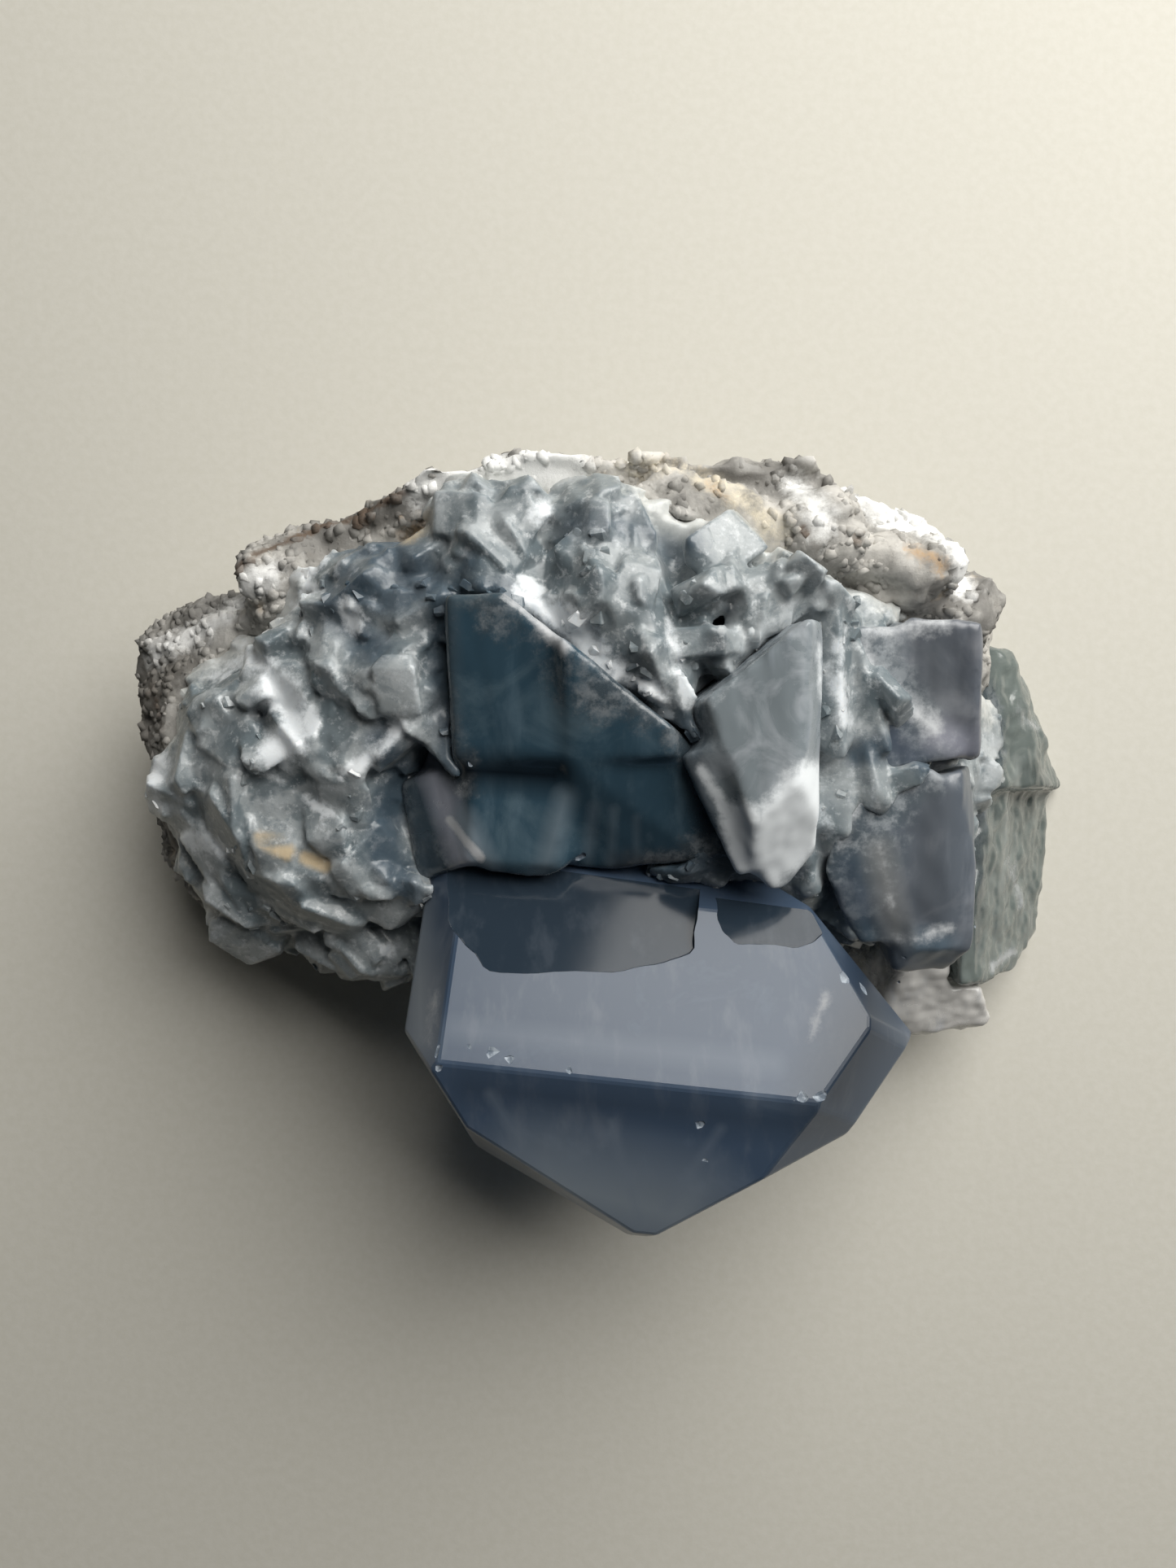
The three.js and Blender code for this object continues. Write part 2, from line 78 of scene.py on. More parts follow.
# Nodes of any tree, and the few combinations of them that the materials share.
class Tree:
    def __init__(self, tree):
        self.tree = tree

    # Adds a node, with its inputs given by name or number.
    def add(self, kind, inputs=None, **settings):
        node = self.tree.nodes.new(kind)
        for key, value in settings.items():
            setattr(node, key, value)
        self.fill(node, inputs or {})
        return node

    def fill(self, node, inputs):
        for key, value in inputs.items():
            socket = node.inputs[key]
            if isinstance(value, bpy.types.NodeSocket):
                self.link(value, socket)
            elif socket.type == "RGBA":
                socket.default_value = (*linear(value), 1)
            else:
                socket.default_value = value

    def link(self, source, target):
        self.tree.links.new(source, target)

    def math(self, operation, *values, clamp=False):
        node = self.add("ShaderNodeMath", dict(enumerate(values)), operation=operation, use_clamp=clamp)
        return node.outputs[0]

    def vector(self, operation, *values, output=0):
        return self.add("ShaderNodeVectorMath", dict(enumerate(values)), operation=operation).outputs[output]

    def scale(self, vector, factor):
        return self.add("ShaderNodeVectorMath", {0: vector, "Scale": factor}, operation="SCALE").outputs[0]

    def noise(self, vector, size, detail=4, roughness=0.6):
        return self.add("ShaderNodeTexNoise", {
            "Vector": vector, "Scale": 1 / (size * mm), "Detail": detail, "Roughness": roughness,
        }).outputs["Fac"]

    def ramp(self, value, low, high, outLow=0.0, outHigh=1.0):
        return self.add("ShaderNodeMapRange", {
            "Value": value, "From Min": low, "From Max": high, "To Min": outLow, "To Max": outHigh,
        }, interpolation_type="SMOOTHSTEP").outputs["Result"]

    def mix(self, share, under, over):
        return self.add("ShaderNodeMix", {0: share, 6: under, 7: over}, data_type="RGBA").outputs[2]

    def attribute(self, name):
        return self.add("ShaderNodeAttribute", attribute_name=name).outputs["Fac"]

    def bump(self, height, strength, distance):
        return self.add("ShaderNodeBump", {
            "Strength": strength, "Distance": distance * mm, "Height": height,
        }).outputs["Normal"]

    def use(self, group, inputs):
        return self.add("ShaderNodeGroup", inputs, node_tree=group).outputs


# Sockets are given as a name, a type and, for an input, a first value.
def newGroup(name, treeType, inputs, outputs):
    group = bpy.data.node_groups.new(name, treeType)
    for side, sockets in (("INPUT", inputs), ("OUTPUT", outputs)):
        for label, kind, *value in sockets:
            socket = group.interface.new_socket(name=label, in_out=side, socket_type="NodeSocket" + kind)
            if value:
                socket.default_value = value[0]
    tree = Tree(group)
    return group, tree, tree.add("NodeGroupInput").outputs, tree.add("NodeGroupOutput").inputs


def newMaterial(name):
    material = bpy.data.materials.new(name)
    material.use_nodes = True
    tree = Tree(material.node_tree)
    position = tree.add("ShaderNodeTexCoord").outputs["Object"]
    return material, tree, material.node_tree.nodes["Principled BSDF"], position


# Cloudy veils that drift through a crystal, as a share from 0 to 1.
def buildVeils():
    group, tree, given, result = newGroup(
        "cloudyVeils", "ShaderNodeTree",
        [("Position", "Vector"), ("Size", "Float", 3.0), ("Amount", "Float", 0.5)], [("Veil", "Float")],
    )
    cloud = tree.add("ShaderNodeTexNoise", {
        "Vector": tree.scale(given["Position"], tree.math("DIVIDE", 1 / mm, given["Size"])),
        "Scale": 1.0, "Detail": 6.0, "Roughness": 0.6, "Distortion": 0.7,
    })
    start = tree.math("SUBTRACT", 0.72, tree.math("MULTIPLY", given["Amount"], 0.45))
    veil = tree.math("DIVIDE", tree.math("SUBTRACT", cloud.outputs["Fac"], start), 0.25, clamp=True)
    tree.link(veil, result["Veil"])
    return group


# A mark along a straight line, as a share that falls from 1 on the line to 0 at its half width.
def buildStroke():
    group, tree, given, result = newGroup(
        "strokeMark", "ShaderNodeTree",
        [("Position", "Vector"), ("Start", "Vector"), ("End", "Vector"), ("Half Width", "Float", 1.0)],
        [("Mark", "Float")],
    )
    offset = tree.vector("SUBTRACT", given["Position"], given["Start"])
    axis = tree.vector("SUBTRACT", given["End"], given["Start"])
    along = tree.vector("DOT_PRODUCT", offset, axis, output="Value")
    length = tree.vector("DOT_PRODUCT", axis, axis, output="Value")
    share = tree.math("DIVIDE", along, tree.math("MAXIMUM", length, 1e-9), clamp=True)
    gap = tree.vector("LENGTH", tree.vector("SUBTRACT", offset, tree.scale(axis, share)), output="Value")
    away = tree.math("DIVIDE", gap, given["Half Width"])
    tree.link(tree.math("SUBTRACT", 1.0, away, clamp=True), result["Mark"])
    return group


# Breaks the soft border of a mark up into a ragged one.
def buildRagged():
    group, tree, given, result = newGroup(
        "raggedMark", "ShaderNodeTree",
        [("Position", "Vector"), ("Mark", "Float", 0.0), ("Ragged", "Float", 0.8)], [("Mask", "Float")],
    )
    grain = tree.math("SUBTRACT", tree.noise(given["Position"], 1.1, 6, 0.72), 0.5)
    broken = tree.math("ADD", given["Mark"], tree.math("MULTIPLY", grain, given["Ragged"]))
    inside = tree.ramp(given["Mark"], 0.0, 0.12)
    tree.link(tree.math("MULTIPLY", tree.ramp(broken, 0.18, 0.78), inside), result["Mask"])
    return group


veilGroup = buildVeils()
strokeGroup = buildStroke()
raggedGroup = buildRagged()


# Where a mark is, from 0 to 1, with a ragged border.
def raggedMask(tree, position, mark, ragged):
    return tree.use(raggedGroup, {"Position": position, "Mark": mark, "Ragged": ragged})["Mask"]


# Lays colour marks over a colour: stains, and on the rock a painted shade as well. Each is an attribute's
# name, how ragged its border is, its share and colour.
def overlaid(tree, colour, position, markLayers):
    for name, ragged, share, markColour in markLayers:
        mask = raggedMask(tree, position, tree.attribute(name), ragged)
        colour = tree.mix(tree.math("MULTIPLY", mask, share), colour, markColour)
    return colour


def newPiece(name, data):
    piece = bpy.data.objects.new(name, data)
    bpy.context.scene.collection.objects.link(piece)
    return piece


def endWork(work, mesh):
    work.to_mesh(mesh)
    work.free()
    return mesh


# A copy of a CAD node with its loose triangles merged.
def copyOfNode(nodeName, pieceName):
    mesh = frame["nodes"][nodeName].data.copy()
    mesh.name = pieceName
    mesh.materials.clear()
    for extra in ("custom_normal", "UVMap"):
        if extra in mesh.attributes:
            mesh.attributes.remove(mesh.attributes[extra])
    work = bmesh.new()
    work.from_mesh(mesh)
    bmesh.ops.remove_doubles(work, verts=work.verts, dist=0.002 * mm)
    return newPiece(pieceName, endWork(work, mesh))


# Meshes put together as one, in place of the piece's own.
def gather(piece, *meshes):
    work = bmesh.new()
    for mesh in meshes:
        work.from_mesh(mesh)
    endWork(work, piece.data)


def modify(piece, name, kind, **settings):
    modifier = piece.modifiers.new(name, kind)
    for key, value in settings.items():
        setattr(modifier, key, value)
    return modifier


def swell(piece, distance):
    modify(piece, "swell", "DISPLACE", strength=distance * mm, mid_level=0)


def evenMesh(piece, voxel):
    modify(piece, "even mesh", "REMESH", mode="VOXEL", voxel_size=voxel * mm, use_smooth_shade=True)


def applyModifiers(piece):
    graph = bpy.context.evaluated_depsgraph_get()
    mesh = bpy.data.meshes.new_from_object(piece.evaluated_get(graph))
    piece.modifiers.clear()
    old = piece.data
    piece.data = mesh
    bpy.data.meshes.remove(old)
    mesh.name = piece.name


def dress(piece, material):
    piece.data.materials.clear()
    piece.data.materials.append(material)


def standsFor(piece, nodeName):
    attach(piece, "root")
    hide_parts(nodeName)


# The closed hull of some points, as a mesh.
def hullMesh(name, points):
    work = bmesh.new()
    for point in points:
        work.verts.new(point)
    hull = bmesh.ops.convex_hull(work, input=work.verts)
    inside = [v for v in hull["geom_interior"] if isinstance(v, bmesh.types.BMVert)]
    bmesh.ops.delete(work, geom=inside, context="VERTS")
    bmesh.ops.recalc_face_normals(work, faces=work.faces)
    return endWork(work, bpy.data.meshes.new(name))


# A lump with flat sides, from random points near a ball of radius 1.
def lumpMesh(name, seed, count, spread):
    draw = random.Random(seed)
    points = []
    for _ in range(count):
        direction = Vector([draw.gauss(0, 1) for _ in range(3)]).normalized()
        points.append(direction * draw.uniform(1 - spread, 1))
    return hullMesh(name, points)


# A small blocky crystal with two chisel ends.
def blockMesh(name, seed):
    draw = random.Random(seed)
    wide, high, lean = draw.uniform(0.5, 0.75), draw.uniform(0.26, 0.4), draw.uniform(-0.2, 0.2)
    sides = [
        (x * draw.uniform(0.8, 1.1) + lean * z, y + lean * x, z)
        for x in (-0.65, 0.65) for y in (-wide, wide) for z in (-high, high)
    ]
    ends = [(x, y, draw.uniform(-0.3, 0.3) * high) for x in (-1, 1) for y in (-0.6 * wide, 0.6 * wide)]
    return hullMesh(name, sides + ends)


def pointsOf(mesh):
    points = np.empty(len(mesh.vertices) * 3)
    mesh.vertices.foreach_get("co", points)
    return points.reshape(-1, 3)


def normalsOf(mesh):
    normals = np.empty(len(mesh.vertices) * 3)
    mesh.vertex_normals.foreach_get("vector", normals)
    return normals.reshape(-1, 3)


# Moves every point along its normal by its height, and keeps the mesh above the table.
def raisePoints(mesh, heights):
    points = pointsOf(mesh) + normalsOf(mesh) * heights[:, None]
    points[:, 2] = np.maximum(points[:, 2], 0)
    mesh.vertices.foreach_set("co", points.ravel())
    mesh.update()


def storeValues(mesh, name, values):
    attribute = mesh.attributes.new(name, "FLOAT", "POINT")
    attribute.data.foreach_set("value", np.asarray(values, dtype=np.float32))


# How far each point stands out from its neighbours, above 0 on ridges and below 0 in hollows.
def crestOf(mesh, reach):
    points = pointsOf(mesh)
    ends = np.empty(len(mesh.edges) * 2, dtype=np.int32)
    mesh.edges.foreach_get("vertices", ends)
    a, b = ends.reshape(-1, 2).T
    degree = np.maximum(np.bincount(a, minlength=len(points)) + np.bincount(b, minlength=len(points)), 1)

    def aroundOf(values):
        total = np.zeros_like(values)
        np.add.at(total, a, values[b])
        np.add.at(total, b, values[a])
        return total / (degree[:, None] if values.ndim > 1 else degree)

    crest = ((points - aroundOf(points)) * normalsOf(mesh)).sum(axis=1) / (reach * mm)
    for _ in range(3):
        crest = 0.5 * crest + 0.5 * aroundOf(crest)
    return crest


def treeOf(mesh):
    return BVHTree.FromPolygons([v.co for v in mesh.vertices], [p.vertices for p in mesh.polygons])


# How far each point of a mesh lies from another surface, in millimetres.
def distancesTo(tree, mesh):
    return np.array([tree.find_nearest(v.co)[3] / mm for v in mesh.vertices])


# Strokes are (line, half width, strength); their value is 1 on the line and 0 at the half width, and
# only on what faces up.
def strokeValues(mesh, strokes):
    flat = pointsOf(mesh)[:, :2] / mm - np.array(datum.xy)
    values = np.zeros(len(flat))
    for line, halfWidth, strength in strokes:
        nearest = np.full(len(flat), np.inf)
        for start, end in zip(line, line[1:] or line):
            along = np.subtract(end, start)
            share = np.clip((flat - start) @ along / max(along @ along, 1e-9), 0, 1)
            gap = flat - start - share[:, None] * along
            nearest = np.minimum(nearest, np.hypot(gap[:, 0], gap[:, 1]))
        values = np.maximum(values, strength * np.clip(1 - nearest / halfWidth, 0, 1))
    return values * np.clip(normalsOf(mesh)[:, 2] * 3, 0, 1)


# The height of a surface that is broken into small flat facets, each with its own lean, and the tone
# of the facet.
def facetAt(point, size, lean, dome):
    scaled = point / (size * mm)
    distances, centres = noise.voronoi(scaled)
    highest, tone = -math.inf, 0.0
    for distance, centre in zip(distances, centres):
        own = noise.cell_vector(centre * 97.3)
        tilt = (own - Vector((0.5, 0.5, 0.5))) * 2 * lean
        height = tilt.dot(scaled - centre) - dome * distance * distance + 0.25 * lean * own.x
        if height > highest:
            highest, tone = height, own.y
    return highest * size * mm, tone


def facets(mesh, size, lean, dome):
    heights, _ = np.array([facetAt(Vector(point), size, lean, dome) for point in pointsOf(mesh)]).T
    return heights - heights.mean()


def higherThan(mesh, height):
    return pointsOf(mesh)[:, 2] > height * mm


# Smooth noise at some points, with its size in their own unit.
def noiseAt(points, size):
    return np.array([noise.noise(Vector(point) / size) for point in points])


# A soft relief of (size, height) layers, at points in the unit given.
def layered(points, layers, unit):
    return sum(noiseAt(points, size * unit) * height * mm for size, height in layers)


# Swells a CAD node a little, so that no seam is left round the crystals, and gives it an even mesh.
def evenCopy(nodeName, pieceName, distance, voxel):
    piece = copyOfNode(nodeName, pieceName)
    swell(piece, distance)
    evenMesh(piece, voxel)
    applyModifiers(piece)
    return piece


# Geometry Nodes: scatters lumps over a surface where its mask attribute is above 0.
def buildScatter():
    group, tree, given, result = newGroup(
        "scatterLumps", "GeometryNodeTree",
        [
            ("Surface", "Geometry"), ("Lumps", "Collection"), ("Mask", "String", "grainy"),
            ("Spacing", "Float", 0.001), ("Most", "Float", 1e6), ("Smallest", "Float", 0.0003),
            ("Largest", "Float", 0.0008), ("Sink", "Float", 0.0001), ("Tilt", "Float", 3.1),
            ("Seed", "Int", 1), ("Material", "Material"),
        ],
        [("Geometry", "Geometry")],
    )
    mask = tree.add("GeometryNodeInputNamedAttribute", {"Name": given["Mask"]}, data_type="FLOAT")
    points = tree.add("GeometryNodeDistributePointsOnFaces", {
        "Mesh": given["Surface"], "Distance Min": given["Spacing"], "Density Max": given["Most"],
        "Density Factor": mask.outputs["Attribute"], "Seed": given["Seed"],
    }, distribute_method="POISSON")
    sunk = tree.add("GeometryNodeSetPosition", {
        "Geometry": points.outputs["Points"],
        "Offset": tree.scale(points.outputs["Normal"], tree.math("MULTIPLY", given["Sink"], -1.0)),
    })
    back = tree.math("MULTIPLY", given["Tilt"], -1.0)
    least = tree.add("ShaderNodeCombineXYZ", {0: back, 1: back})
    most = tree.add("ShaderNodeCombineXYZ", {0: given["Tilt"], 1: given["Tilt"], 2: math.tau})
    turn = tree.add("FunctionNodeRandomValue", {
        0: least.outputs[0], 1: most.outputs[0], "Seed": given["Seed"],
    }, data_type="FLOAT_VECTOR")
    turned = tree.add("FunctionNodeRotateRotation", {
        "Rotation": points.outputs["Rotation"], "Rotate By": turn.outputs[0],
    }, rotation_space="LOCAL")
    size = tree.add("FunctionNodeRandomValue", {
        2: given["Smallest"], 3: given["Largest"], "Seed": given["Seed"],
    }, data_type="FLOAT")
    lumps = tree.add("GeometryNodeCollectionInfo", {
        "Collection": given["Lumps"], "Separate Children": True, "Reset Children": True,
    })
    stand = tree.add("GeometryNodeInstanceOnPoints", {
        "Points": sunk.outputs["Geometry"], "Instance": lumps.outputs["Instances"], "Pick Instance": True,
        "Rotation": turned.outputs[0], "Scale": size.outputs[1],
    })
    real = tree.add("GeometryNodeRealizeInstances", {"Geometry": stand.outputs["Instances"]})
    dressed = tree.add("GeometryNodeSetMaterial", {
        "Geometry": real.outputs["Geometry"], "Material": given["Material"],
    })
    tree.link(dressed.outputs["Geometry"], result["Geometry"])
    return group


scatterGroup = buildScatter()


# Lumps scattered over a piece, as a plain mesh of its own.
def scattered(name, surface, shapes, look, mask, seed, material):
    lumps = bpy.data.collections.new(name + "Lumps")
    for shape in shapes:
        lumps.objects.link(bpy.data.objects.new(shape.name, shape))
    piece = newPiece(name, surface.data.copy())
    modifier = modify(piece, "scatter", "NODES", node_group=scatterGroup)
    sockets = {item.name: item.identifier for item in scatterGroup.interface.items_tree}
    lengths = {key: look[key.lower()] * mm for key in ("Spacing", "Smallest", "Largest", "Sink")}
    inputs = {
        "Lumps": lumps, "Mask": mask, "Most": look["most"], "Tilt": look["tilt"], "Seed": seed,
        "Material": material, **lengths,
    }
    for key, value in inputs.items():
        modifier[sockets[key]] = value
    applyModifiers(piece)
    for lump in list(lumps.objects):
        bpy.data.objects.remove(lump)
    bpy.data.collections.remove(lumps)
    return piece


def blocksOn(name, surface, look, mask, seed, material=None):
    shapes = [blockMesh(f"{name}{i}", seed * 10 + i) for i in range(4)]
    return scattered(name, surface, shapes, look, mask, seed, material)


# The bed: intergrown cloudy crystal, bruised white where it is broken.
bed = dict(
    swell=0.34,
    voxel=0.36,
    coarse=dict(size=3.4, lean=0.1, dome=0.02),
    fine=dict(size=1.2, lean=0.1, dome=0.02),
    pitDepth=0.8,
    blocks=dict(spacing=1.25, smallest=1.1, largest=3.1, sink=0.72, tilt=0.16, most=1.3e6),
    calm=[([(20.5, 11.0), (20.5, -10.0)], 7.5, 1.8), ([(30.0, 8.0), (30.0, -8.0)], 5.0, 1.8)],
    fused=dict(voxel=0.25, share=0.47),
    shards=dict(spacing=0.9, smallest=0.25, largest=0.7, sink=0.15, tilt=1.0, most=1e6),
    bruise=[
        ([(-22.4, 6.9), (-21.2, 5.0), (-21.3, 3.2), (-22.4, 2.0)], 2.2, 1.0),
        ([(-21.2, 5.4), (-19.6, 4.4)], 1.4, 0.9),
        ([(-28.4, 8.4), (-24.4, 9.4), (-22.4, 7.4)], 2.6, 0.6),
        ([(-28.0, 13.0), (-24.0, 14.6), (-20.0, 15.8)], 2.8, 0.8),
        ([(-17.0, 12.5), (-16.5, 11.2)], 1.2, 1.0),
        ([(-20.4, -1.1), (-19.1, -1.9), (-17.9, -2.7)], 0.7, 0.95),
        ([(-23.9, 1.1), (-22.3, 0.1)], 0.8, 0.8),
        ([(-33.0, 1.6), (-33.6, -1.5)], 1.6, 0.8),
        ([(-31.7, -4.2), (-26.8, -5.0)], 1.3, 0.7),
        ([(-12.5, 4.8), (-14.0, 3.1), (-15.7, 1.6), (-17.3, 0.5)], 0.8, 0.7),
        ([(-4.3, 13.9), (-3.5, 13.4)], 1.0, 0.95),
        ([(-4.3, 13.0), (-2.4, 11.6), (-0.4, 10.2)], 1.4, 0.7),
        ([(-0.4, 10.2), (1.0, 8.5), (2.1, 7.4)], 1.7, 1.0),
        ([(2.1, 7.4), (3.8, 6.6), (4.9, 5.7)], 1.2, 0.95),
        ([(-3.0, 19.0), (-3.6, 18.3)], 1.0, 0.75),
        ([(5.4, 10.7), (6.2, 8.2), (6.7, 5.7)], 0.9, 0.8),
        ([(4.3, 6.8), (5.4, 4.7)], 0.8, 0.8),
        ([(17.6, 10.6), (17.2, 7.6), (18.0, 4.4)], 1.3, 0.8),
        ([(16.0, -1.0), (17.6, -3.4)], 1.2, 0.5),
        ([(-20.6, -11.4), (-20.0, -11.6)], 0.8, 0.9),
        ([(-15.8, -12.8), (-15.2, -13.2)], 0.7, 0.8),
        ([(-12.0, -3.2), (-11.2, -4.2)], 0.6, 1.0),
    ],
    tan=[
        ([(-23.7, -4.0), (-22.0, -4.9)], 1.2, 1.0),
        ([(-20.6, -5.4), (-19.2, -6.0)], 1.0, 1.0),
        ([(-12.6, 17.4), (-11.4, 18.8)], 1.4, 0.6),
    ],
    slate=[
        ([(-16.7, 17.6), (-12.8, 15.7), (-11.2, 14.0), (-14.0, 13.2), (-16.9, 14.0)], 3.6, 0.95),
        ([(19.4, 2.2), (22.4, 2.9), (24.6, 1.2)], 2.2, 0.9),
        ([(-14.6, 3.1), (-13.5, 0.8), (-14.6, -2.2), (-15.0, -5.0), (-13.0, -8.0)], 2.6, 0.9),
        ([(-18.0, 12.8), (-15.0, 9.5)], 3.2, 0.8),
        ([(-1.0, 17.6), (3.2, 17.4), (7.0, 16.2)], 3.2, 0.65),
        ([(-8.0, 15.4), (-10.6, 11.0)], 2.2, 0.7),
    ],
    # Pits: pressed into the bed, and darkened in the material with painted shade.
    hollow=[
        ([(-23.9, 5.3), (-23.4, 4.9)], 1.3, 1.0),
        ([(9.7, 12.2), (9.5, 11.7)], 1.2, 1.0),
        ([(8.5, 9.2), (8.2, 7.2)], 1.3, 1.0),
        ([(16.8, -4.0), (18.6, -8.6)], 1.0, 0.8),
    ],
    deep=(106, 117, 122),
    middle=(156, 162, 164),
    pale=(204, 208, 210),
    white=(238, 242, 245),
    dark=(40, 47, 53),
    markLayers=[
        ("rim", 1.4, 0.75, (216, 217, 213)), ("slate", 0.5, 0.8, (58, 76, 90)),
        ("tan", 0.6, 0.85, (206, 186, 152)),
    ],
    clearance=dict(front_crystal=1.4, tall_crystal=1.4, blue_crystals=0.4),
    bareBelow=3,
    blockPatches=8.0,
    shardPatches=5.0,
    seam=0.9,
    rimReach=3.5,
    slateReach=3.2,
    tones=dict(size=3.0, lean=0.2, dome=0.3),
)


def bedMaterial(look):
    material, tree, shader, position = newMaterial("cloudy crystal bed")
    tone = tree.attribute("tone")
    crest = tree.attribute("crest")
    broad = tree.noise(position, 7.0, 4, 0.55)
    depth = tree.math("ADD", tree.math("MULTIPLY", tone, 0.3), tree.math("MULTIPLY", broad, 0.7))
    colour = tree.mix(tree.ramp(depth, 0.34, 0.62), look["deep"], look["middle"])
    veil = tree.use(veilGroup, {"Position": position, "Size": 3.4, "Amount": 0.5})["Veil"]
    colour = tree.mix(tree.math("MULTIPLY", veil, 0.65), colour, look["pale"])
    mottle = tree.noise(position, 1.3, 5, 0.7)
    colour = tree.mix(tree.ramp(mottle, 0.48, 0.66, 0.0, 0.6), colour, look["deep"])
    # Worn white ridges with a painted highlight on them: the crests are lightened towards white, in patches.
    patches = tree.ramp(tree.noise(position, 2.6, 4, 0.6), 0.42, 0.62)
    wornAndHighlit = tree.math("MULTIPLY", tree.ramp(crest, 0.04, 0.22), patches)
    colour = tree.mix(tree.math("MULTIPLY", wornAndHighlit, 0.16), colour, look["white"])
    fleck = tree.noise(position, 0.8, 5, 0.7)
    colour = tree.mix(tree.ramp(fleck, 0.52, 0.68, 0.0, 0.65), colour, look["pale"])
    colour = overlaid(tree, colour, position, look["markLayers"])
    uneven = tree.math("MULTIPLY", tree.math("SUBTRACT", tone, 0.5), 0.5)
    bruise = raggedMask(tree, position, tree.math("ADD", tree.attribute("bruise"), uneven), 1.5)
    colour = tree.mix(tree.math("MULTIPLY", bruise, 0.78), colour, look["white"])
    # Painted shade: the pits and the creases between facets are darkened towards the painted pit shade.
    hollow = tree.math("MAXIMUM", tree.attribute("hollow"), tree.ramp(crest, -0.1, -0.4, 0.0, 0.2))
    fine = tree.math("MULTIPLY", tree.noise(position, 0.25, 3, 0.6), 0.3)
    grain = tree.math("ADD", tree.noise(position, 0.9, 5, 0.65), fine)
    cloudy = tree.ramp(veil, 0.0, 1.0, 0.3, 0.6)
    tree.fill(shader, {
        "Base Color": tree.mix(hollow, colour, look["dark"]),
        "Roughness": tree.math("ADD", cloudy, tree.math("MULTIPLY", bruise, 0.1)),
        "Normal": tree.bump(grain, 0.2, 0.15),
        "IOR": celestiteIor, "Specular IOR Level": 0.45,
        "Subsurface Weight": 0.5, "Subsurface Radius": (1.0, 1.1, 1.2), "Subsurface Scale": 0.5 * mm,
    })
    return material


# Fuses another piece into this one, as one mass with fewer faces where it is flat.
def fuse(piece, other, look):
    gather(piece, piece.data, other.data)
    bpy.data.objects.remove(other)
    evenMesh(piece, look["voxel"])
    modify(piece, "fewer faces", "DECIMATE", ratio=look["share"])
    applyModifiers(piece)
    piece.data.shade_smooth()


def makeBed(look):
    piece = evenCopy("crystal_bed", "crystal_bed_cloudy", look["swell"], look["voxel"])
    mesh = piece.data
    hollow = strokeValues(mesh, look["hollow"])
    calm = np.clip(strokeValues(mesh, look["calm"]), 0, 1)
    relief = facets(mesh, **look["coarse"]) + facets(mesh, **look["fine"])
    raisePoints(mesh, relief * (1 - 0.7 * calm) - hollow * look["pitDepth"] * mm)
    trees = {name: treeOf(frame["nodes"][name].data) for name in look["clearance"]}
    spare = [distancesTo(trees[name], mesh) - clearance for name, clearance in look["clearance"].items()]
    openGround = (np.min(spare, axis=0) > 0) * higherThan(mesh, look["bareBelow"])
    patches = noiseAt(pointsOf(mesh), look["blockPatches"] * mm)
    storeValues(mesh, "blocky", np.clip(1.1 + 1.6 * patches - 3 * hollow - 3 * calm, 0, 1) * openGround)
    fuse(piece, blocksOn("bedBlocks", piece, look["blocks"], "blocky", 3), look["fused"])

    mesh = piece.data
    near = {name: distancesTo(tree, mesh) for name, tree in trees.items()}
    toRock = distancesTo(treeOf(frame["nodes"]["rock_shell"].data), mesh)
    for mark in ("bruise", "tan", "hollow"):
        storeValues(mesh, mark, strokeValues(mesh, look[mark]))
    besideBlue = 0.9 - near["blue_crystals"] / look["slateReach"]
    storeValues(mesh, "slate", np.maximum(strokeValues(mesh, look["slate"]), besideBlue))
    storeValues(mesh, "rim", 1 - toRock / look["rimReach"])
    storeValues(mesh, "crest", crestOf(mesh, look["fused"]["voxel"]))
    storeValues(mesh, "tone", [facetAt(v.co, **look["tones"])[1] for v in mesh.vertices])
    patches = noiseAt(pointsOf(mesh), look["shardPatches"] * mm)
    inSeam = np.min(list(near.values()), axis=0) < look["seam"]
    shardy = 1.8 * patches - 0.2 + 0.3 * strokeValues(mesh, look["bruise"]) + inSeam
    storeValues(mesh, "shardy", np.clip(shardy, 0, 1) * higherThan(mesh, look["bareBelow"]))
    dress(piece, bedMaterial(look))
    standsFor(piece, "crystal_bed")
    print("crystal bed:", len(mesh.polygons), "faces")
    return piece


bedPiece = makeBed(bed)
shardsPiece = blocksOn(
    "crystal_bed_shards", bedPiece, bed["shards"], "shardy", 8, bedPiece.active_material,
)
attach(shardsPiece, "root")
print("bed shards:", len(shardsPiece.data.polygons), "faces")

